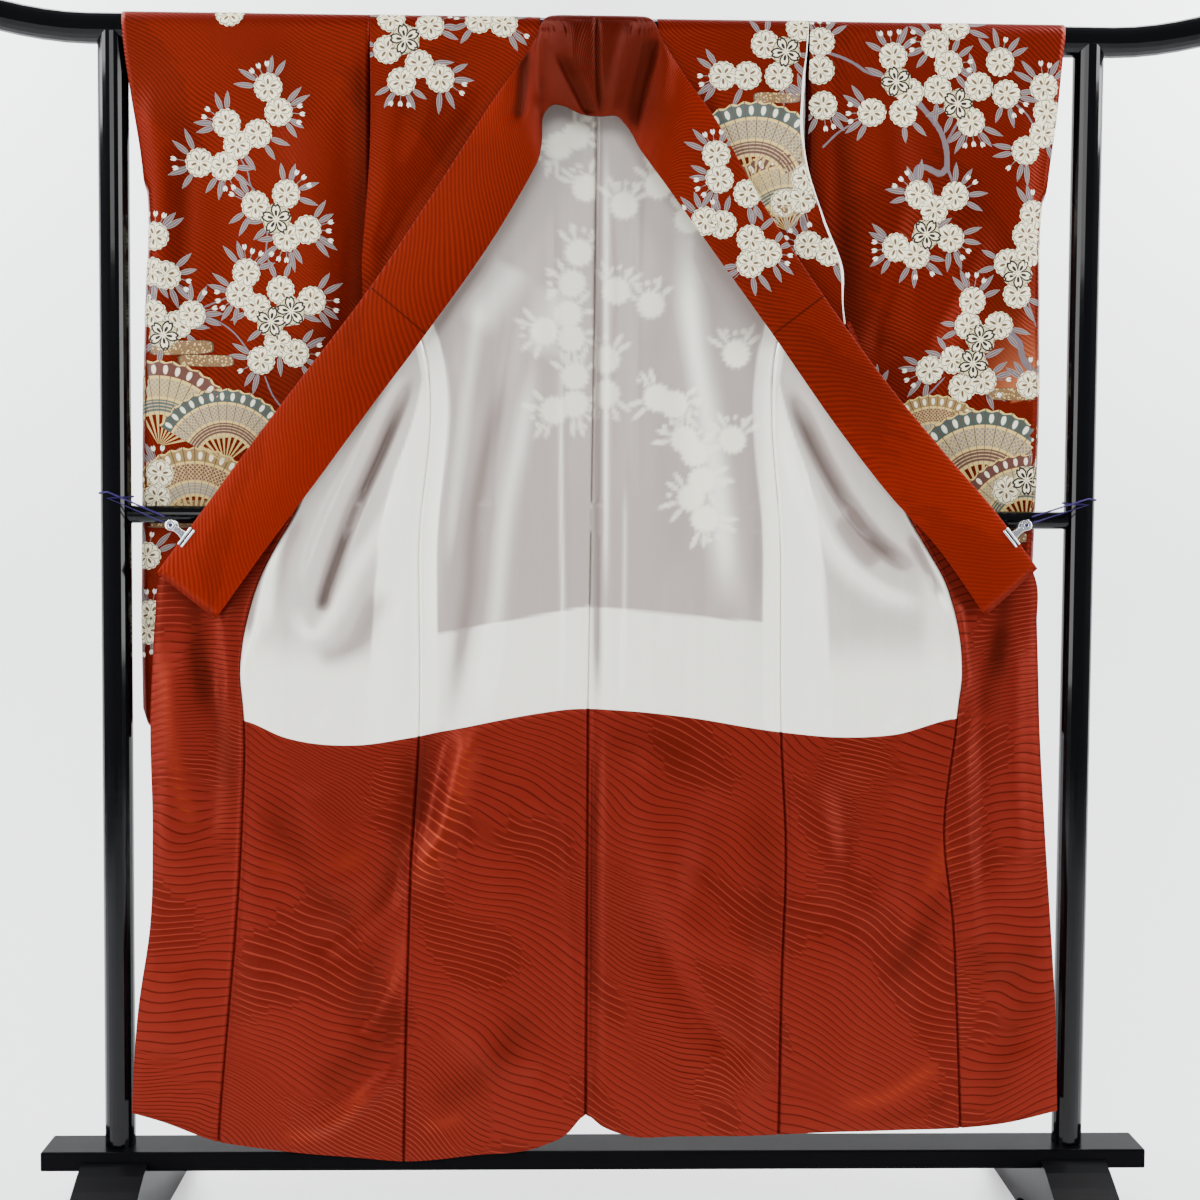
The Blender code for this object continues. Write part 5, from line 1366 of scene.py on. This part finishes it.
def fanShape():
    # open fan of unit radius: pleated paper above nine sticks, widening from its rivet
    spread, sticks, paperFrom = 1.02, 9, 0.37
    bm = bmesh.new()
    made = bmesh.ops.create_grid(bm, x_segments=26, y_segments=9, size=1.0)["verts"]
    shares = {vert: (vert.co.x * 0.5 + 0.5, mix(paperFrom, 1.0, vert.co.y * 0.5 + 0.5)) for vert in made}
    for i in range(sticks):
        stick = bmesh.ops.create_grid(bm, x_segments=1, y_segments=3, size=1.0)["verts"]
        for vert in stick:
            out = mix(0.03, paperFrom, vert.co.y * 0.5 + 0.5)
            shares[vert] = ((i + 0.5 + 0.22 * vert.co.x) / sticks, out)
    layer = bm.loops.layers.uv.new("motif")
    for face in bm.faces:
        for loop in face.loops:
            loop[layer].uv = shares[loop.vert]
    for vert, (turnShare, out) in shares.items():
        turn = (turnShare * 2 - 1) * spread
        zigzag = 1.0 if out < 0.98 else 0.985 + 0.015 * math.cos(turnShare * 26 * math.pi)
        vert.co = (math.sin(turn) * out * zigzag, math.cos(turn) * out * zigzag, 0)
    return meshFrom(bm, "fan")


# the second of each pair has more rings, for places where the cloth bends
blossomShape = [flatMotif("blossom", 42, scallops, rings) for rings in (1, 4)]
outlinedShape = [flatMotif("outlined blossom", 40, notchedPetals, rings) for rings in (1, 4)]
leafShape = [leafStrip("leaf", parts, lambda share: 0.02 + 0.98 * math.sin(math.pi * share ** 0.8) ** 0.8)
             for parts in (6, 12)]
budShape = [leafStrip("bud", 5, lambda share: 0.16 + 0.84 * math.sin(math.pi * min(1.0, share * 0.8)) ** 1.2,
                      notch=0.22)] * 2
fanPaper = [fanShape()] * 2
mistShape = [flatMotif("mist band", 32, roundedBand, 2)] * 2


def onCloth(names, x, height, lift):
    # a height above the rail is carried over it and down the back
    rail, radius = garment["railHeight"], garment["wrapRadius"]
    over = (height - rail) / radius
    if over <= 0:
        tree, start, way = trees[names[0]], Vector((x, -60, height)), Vector((0, 1, 0))
    elif over < math.pi:
        tree = trees[names[0] if over < math.pi / 2 else names[1]]
        way = Vector((0, math.cos(over), -math.sin(over)))
        start = Vector((x, 0, rail)) - way * 30
    else:
        tree, way = trees[names[1]], Vector((0, -1, 0))
        start = Vector((x, 60, 2 * rail - height + math.pi * radius))
    hit, normal, _, _ = tree.ray_cast(start * cm, way)
    if hit is None:
        return None
    if normal.dot(way) > 0:
        normal = -normal
    return hit + normal * lift * cm


def clothBends(x, height):
    # over the rail and at the folded edges of a sleeve the cloth curves within one motif
    overRail = abs(height - crown) < garment["wrapRadius"] * math.pi / 2 + 2.4
    return overRail or abs(x) > 61 or 34 < abs(x) < 38.5


def layMotifs(name, shapes, places, names, lift, mat):
    # places are x, height, half width, length or radius, and turn
    places = [place for place in places if onCloth(names, place[0], place[1], lift) is not None]
    if not places:
        return
    bm = bmesh.new()
    owners = []
    for place in places:
        shape = shapes[clothBends(place[0], place[1])]
        bm.from_mesh(shape)
        owners += [place] * len(shape.vertices)
    shares = []
    for vert, (x, height, wide, long, turn) in zip(bm.verts, owners):
        dx, dy = vert.co.x * wide, vert.co.y * long
        dx, dy = math.cos(turn) * dx - math.sin(turn) * dy, math.sin(turn) * dx + math.cos(turn) * dy
        point, share = onCloth(names, x + dx, height + dy, lift), 1.0
        if point is None:
            # past an edge: drawn back to the last point that lies on cloth
            low = 0.0
            for _ in range(8):
                middle = (low + share) / 2
                if onCloth(names, x + dx * middle, height + dy * middle, lift) is None:
                    share = middle
                else:
                    low = middle
            share = low
            point = onCloth(names, x + dx * share, height + dy * share, lift)
        shares.append(share)
        vert.co = point
    if shapes in (blossomShape, outlinedShape):
        # the drawing on every blossom is drawn in as far as the first one is at its edge,
        # because a vertex is counted within its own blossom here
        layer, middle = bm.loops.layers.uv["motif"], Vector((0.5, 0.5))
        for face in bm.faces:
            for loop in face.loops:
                loop[layer].uv = (loop[layer].uv - middle) * shares[loop.vert.index] + middle
    bmesh.ops.dissolve_degenerate(bm, dist=0.00004, edges=bm.edges[:])
    addPiece(name, meshFrom(bm, name), mat)


def scatter(number):
    # a fixed pseudo-random share for each number
    return math.sin(number * 12.9898 + 4.1) * 43758.5453 % 1.0


def sprays(centres):
    # leaves and buds stand out from the outer blossoms of each group
    leaves, buds = [], []
    rim = motifs["blossomRadius"] * 0.86

    def standOut(x, height, start, turn, half, long):
        return x + start * math.cos(turn), height + start * math.sin(turn), half, long, turn - math.pi / 2

    for i, (x, height, _) in enumerate(centres):
        near = [(a, b) for a, b, _ in centres if 0 < math.hypot(a - x, b - height) < motifs["reach"]]
        if near:
            middleX, middleZ = (sum(values) / len(near) for values in zip(*near))
            away = math.atan2(height - middleZ, x - middleX)
        else:
            away = math.pi / 2 + (scatter(i) - 0.5)
        free = len(near) <= 2
        for k, part in enumerate((-0.95, -0.5, 0.55, 1.0) if free else (-0.35, 0.3)):
            turn = away + part + 0.25 * (scatter(i * 7 + k) - 0.5)
            long = motifs["leafLength"] * (0.85 + 0.3 * scatter(i * 5 + k))
            # no leaf where a neighbour stands
            if all(abs((math.atan2(b - height, a - x) - turn + math.pi) % (2 * math.pi) - math.pi) >= 0.6
                   for a, b in near):
                leaves.append(standOut(x, height, rim, turn, motifs["leafWidth"] / 2, long))
        for k, part in enumerate((-0.36, 0.02, 0.38) if free else ()):
            if scatter(i * 3 + k) < 0.25:
                continue
            start = motifs["blossomRadius"] * (1.2 + 0.35 * scatter(i + k * 11))
            buds.append(standOut(x, height, start, away + part, motifs["budWidth"] / 2, motifs["budLength"]))
            leaves.append(standOut(x, height, rim, away + part, motifs["stemWidth"] / 2, start - rim + 0.2))
    return leaves, buds


def layTwigs(name, twigs, names):
    bm = bmesh.new()
    layer = bm.loops.layers.uv.new("motif")
    for width, points in twigs:
        path = smoothPath(points, 6)
        rows = []
        for i, (x, height) in enumerate(path):
            a, b = path[max(i - 1, 0)], path[min(i + 1, len(path) - 1)]
            along = (b - a) / np.linalg.norm(b - a)
            half = width / 2 * (0.85 + 0.3 * scatter(i + width * 10)) * (1.0 if i < len(path) - 1 else 0.5)
            spots = [onCloth(names, x - along[1] * half * k, height + along[0] * half * k, motifs["twigLift"])
                     for k in (-1, 0, 1)]
            if None not in spots:
                rows.append([bm.verts.new(spot) for spot in spots])
        for low, high in zip(rows, rows[1:]):
            for k in (0, 1):
                face = bm.faces.new((low[k], low[k + 1], high[k + 1], high[k]))
                for loop in face.loops:
                    loop[layer].uv = (0.5 if loop.vert in (low[1], high[1]) else 0.2, 0.5)
    addPiece(name, meshFrom(bm, name), twigDye)


def dyeCloth(word, centres, twigs, names):
    def circles(outlined, radius):
        return [(x, height, radius, radius, motifs["turns"] * scatter(x + height))
                for x, height, kind in centres if kind == outlined]

    leaves, buds = sprays(centres)
    for kind, shapes, places, lift, dye in (
            ("blossoms_", blossomShape, circles(0, motifs["blossomRadius"]), motifs["blossomLift"],
             blossomDye),
            ("outlinedBlossoms_", outlinedShape, circles(1, motifs["outlinedRadius"]), motifs["outlinedLift"],
             outlinedDye),
            ("leaves_", leafShape, leaves, motifs["leafLift"], leafDye),
            ("buds_", budShape, buds, motifs["budLift"], budDye)):
        layMotifs(kind + word, shapes, places, names, lift, dye)
    if twigs:
        layTwigs("twigs_" + word, twigs, names)
    for i, (x, height, radius, away, dye) in enumerate(fans.get(word, [])):
        place = (x, height, radius, radius, away - math.pi / 2)
        layMotifs("fan%d_%s" % (i + 1, word), fanPaper, [place], names, motifs["fanLift"] + 0.003 * i,
                  fanDyes[dye])
    layMotifs("mist_" + word, mistShape, mists.get(word, []), names, motifs["mistLift"], mistDye)


def beyondRail(centres, turned=False):
    # the same heights on the back; turned swaps a sleeve's inner and outer edges
    total = 2 * garment["railHeight"] + math.pi * garment["wrapRadius"]
    places = []
    for x, height, kind in centres:
        if turned:
            x = math.copysign(101.0 - abs(x), x)
        places.append((x, total - height + (3.0 if turned else 0.0), kind))
    return places


def paintGhosts(word, centres):
    # dyed blossoms and leaves on the back show through the lining, slightly blurred
    mesh = bpy.data.objects["backLining_" + word].data
    points = pointsOf(mesh)
    x, z = points[:, 0], points[:, 2]
    total = np.zeros(len(points))
    leaves, buds = sprays(centres)
    for cx, cz, _ in centres:
        turn = np.arctan2(z - cz, x - cx)
        rim = motifs["blossomRadius"] * (0.95 + 0.06 * np.cos(turn * motifs["lobes"]))
        total = np.maximum(total, smoothStep((rim + 0.35 - np.hypot(x - cx, z - cz)) / 0.7))
    for cx, cz, half, long, turn in leaves + buds:
        dx, dz = x - cx, z - cz
        along = (-math.sin(turn) * dx + math.cos(turn) * dz) / long * 2 - 1
        across = (math.cos(turn) * dx + math.sin(turn) * dz) / (half * 1.15)
        total = np.maximum(total, 0.75 * smoothStep((1.25 - along ** 2 - across ** 2) / 0.9))
    soft = 0.68 + 0.26 * smoothStep((x - 4.0) / 4.0) * smoothStep((136.0 - z) / 8.0)
    mesh.attributes["ghost"].data.foreach_set("value", (total * soft).astype(np.float32))


for word, blossoms, twigs in (("left", sleeveLeftBlossoms, sleeveLeftTwigs),
                              ("right", sleeveRightBlossoms, sleeveRightTwigs)):
    dyeCloth("sleeve" + word.title(), blossoms, twigs, ("sleeve_" + word, "sleeve_" + word))
dyeCloth("frontLeft", frontLeftBlossoms, [], ("front_left", "back_left"))
dyeCloth("frontRight", frontRightBlossoms, [], ("front_right", "back_right"))
dyeCloth("collar", collarBlossoms, [], ("collar", "collar"))
for side, word in ((-1, "left"), (1, "right")):
    centres = [(x, z, 0) for x, z in ghostBlossoms if (x > -1.2) == (side > 0)]
    paintGhosts(word, centres)
    dyeCloth("back" + word.title(), beyondRail(centres), [], ("front_" + word, "back_" + word))
for word, blossoms in (("left", sleeveLeftBlossoms),
                       ("right", [item for item in sleeveRightBlossoms if item[0] > 36.5])):
    places = beyondRail(blossoms, True)
    dyeCloth("sleeveBack" + word.title(), places, [], ("sleeve_" + word, "sleeve_" + word))
print("blossoms, leaves and twigs laid")


# the stand: rails and posts are polished, the foot is worn dull
for finish, names in ((lacquer, ("top_rail", "mid_rail", "post_left", "post_right")),
                      (dullLacquer, ("base_bar", "foot_left", "foot_right"))):
    for name in names:
        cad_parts[name].material_slots[0].material = finish
print("stand finished")


# clips and their cords
clips = {
    "station": 0.0225, "width": 3.0, "barHalf": 0.17, "outerBar": 0.78, "innerBar": 0.18, "plate": 0.07,
    "leverStart": 0.1, "leverHalf": 0.62, "discReach": 2.28, "discRadius": 0.78,
    "hole": 0.3, "knot": 0.22, "standOff": 0.26, "leverRise": 0.36, "riseOver": 1.6, "sheet": 0.09,
    "barFlat": 0.62, "plateInset": 0.16, "plateDrop": 0.04,
}


# Nickel-plated spring steel, stamped and rolled: bright, with a faintly brushed grain
def platedSteel(name, tone, roughness):
    mat, tree, shader = newMaterial(name, Metallic=1.0)
    place = addNode(tree, "TexCoord")[3]
    grain = addNode(tree, "TexNoise", {"Vector": place, "Scale": 900.0, "Detail": 2.0})[0]
    rough = addNode(tree, "MapRange", (grain, 0.0, 1.0, roughness - 0.06, roughness + 0.08))[0]
    tree.links.new(rough, shader.inputs["Roughness"])
    finishSurface(tree, shader, mottled(tree, place, 160.0, 1.0, tone, "#d6d9dd"))
    return mat


# Twisted viscose cord: strands wind round it; across each strand the colour runs from dark to bright, as
# painted shade and highlight
def twistedCord(name):
    mat, tree, shader = newMaterial(name, Roughness=0.6, Specular_IOR_Level=0.2)
    x, y, z = addNode(tree, "SeparateXYZ", (addNode(tree, "TexCoord")[3],))
    wound = addNode(tree, "Math", (x, y), operation="ADD")[0]
    wound = addNode(tree, "Math", (wound, z), operation="ADD")[0]
    # strands 1.1 mm apart
    strand = addNode(tree, "Math", (wound, 2 * math.pi / 0.0011), operation="MULTIPLY")[0]
    strand = addNode(tree, "Math", (strand,), operation="SINE")[0]
    # painted shade and highlight: dark to bright across each strand
    share = addNode(tree, "MapRange", (strand, -1.0, 1.0))[0]
    finishSurface(tree, shader, layTones(tree, srgb("#0f0726"), (share, "#2d1a66")), strand, 0.00012)
    return mat


# A dull, nearly black plate fills the gap between each jaw's bars
darkJawPlate, _, _ = newMaterial("Nearly black jaw plate", Base_Color=srgb("#141516"), Roughness=0.7)
nickel = platedSteel("Nickel-plated spring steel", "#dfe1e4", 0.24)
purpleCord = twistedCord("Twisted purple cord")


def clipAxes(side):
    t = clips["station"] if side < 0 else 1 - clips["station"]
    near = t * 1.3 if side < 0 else 1 - (1 - t) * 1.3
    here, inward = Vector(collarPoint(t, 0.0)), Vector(collarPoint(t, 0.1))
    across = (inward - here).normalized()
    through = across.cross(Vector(collarPoint(near, 0.0)) - here).normalized()
    if through.y < 0:
        through = -through
    return here, across, through, through.cross(across)


def makeClip(side, word):
    here, across, through, edge = clipAxes(side)
    bm = bmesh.new()
    darkPlateFaces = []

    def toPlace(verts, face):
        # local x runs along the cloth's edge, y into the cloth and z away from it
        for vert in verts:
            x, y, z = vert.co
            vert.co = (here + edge * x + across * y + through * face * z) * cm

    for face in (-1, 1):
        for middle in (clips["outerBar"], clips["innerBar"]):
            made = bmesh.ops.create_cone(bm, cap_ends=True, segments=16, radius1=clips["barHalf"],
                                         radius2=clips["barHalf"], depth=clips["width"],
                                         matrix=Matrix.Rotation(math.pi / 2, 4, "Y"))
            bmesh.ops.scale(bm, vec=(1, 1, clips["barFlat"]), verts=made["verts"])
            bmesh.ops.translate(bm, vec=(0, middle, clips["standOff"]), verts=made["verts"])
            toPlace(made["verts"], face)
        made = bmesh.ops.create_cube(bm, size=1.0)
        gap = clips["outerBar"] - clips["innerBar"]
        size = (clips["width"] - clips["plateInset"], gap, clips["plate"])
        bmesh.ops.scale(bm, vec=size, verts=made["verts"])
        place = (0, clips["innerBar"] + gap / 2, clips["standOff"] - clips["plateDrop"])
        bmesh.ops.translate(bm, vec=place, verts=made["verts"])
        darkPlateFaces.extend({item for vert in made["verts"] for item in vert.link_faces})
        toPlace(made["verts"], face)
        # the lever narrows and ends in a round eye
        before = set(bm.verts)
        outer = bmesh.ops.create_circle(bm, segments=28, radius=clips["discRadius"])["verts"]
        inner = bmesh.ops.create_circle(bm, segments=28, radius=clips["hole"])["verts"]
        rims = list({link for vert in outer + inner for link in vert.link_edges})
        bmesh.ops.bridge_loops(bm, edges=rims)
        bmesh.ops.translate(bm, vec=(0, -clips["discReach"], 0), verts=outer + inner)
        stem = bmesh.ops.create_grid(bm, x_segments=4, y_segments=8, size=1.0)["verts"]
        stemEnd = -clips["discReach"] + clips["discRadius"] * 0.86
        for vert in stem:
            share = vert.co.y * 0.5 + 0.5
            half = clips["leverHalf"] * (0.62 + 0.5 * share ** 3)
            vert.co = (vert.co.x * half, mix(stemEnd, clips["leverStart"], share), 0)
        made = [vert for vert in bm.verts if vert not in before]
        for vert in made:
            rise = min(1.0, max(0.0, -vert.co.y) / clips["riseOver"])
            vert.co.z = clips["standOff"] + 0.04 + clips["leverRise"] * rise
        faces = list({item for vert in made for item in vert.link_faces})
        bmesh.ops.recalc_face_normals(bm, faces=faces)
        bmesh.ops.solidify(bm, geom=faces, thickness=clips["sheet"])
        toPlace([vert for vert in bm.verts if vert not in before], face)
    # knot of the cord through both eyes
    made = bmesh.ops.create_cone(bm, cap_ends=True, segments=14, radius1=clips["knot"], radius2=clips["knot"],
                                 depth=2 * (clips["standOff"] + clips["leverRise"]) + 0.16)
    bmesh.ops.translate(bm, vec=(0, -clips["discReach"] - 0.03, 0), verts=made["verts"])
    knot = {item for vert in made["verts"] for item in vert.link_faces}
    toPlace(made["verts"], 1)
    bmesh.ops.recalc_face_normals(bm, faces=bm.faces[:])
    for number, faces in ((1, darkPlateFaces), (2, knot)):
        for face in faces:
            face.material_index = number
    mesh = meshFrom(bm, "clip " + word)
    clip = addPiece("springClip_" + word, mesh, nickel)
    mesh.materials.append(darkJawPlate)
    mesh.materials.append(purpleCord)
    rounding = clip.modifiers.new("Rolled edges", "BEVEL")
    rounding.width, rounding.segments, rounding.limit_method = 0.0003, 2, "ANGLE"
    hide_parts("clip_" + word, "clip_ring_" + word)


for side, word in ((-1, "left"), (1, "right")):
    makeClip(side, word)
    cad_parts["clip_cord_" + word].material_slots[0].material = purpleCord
print("clips made")
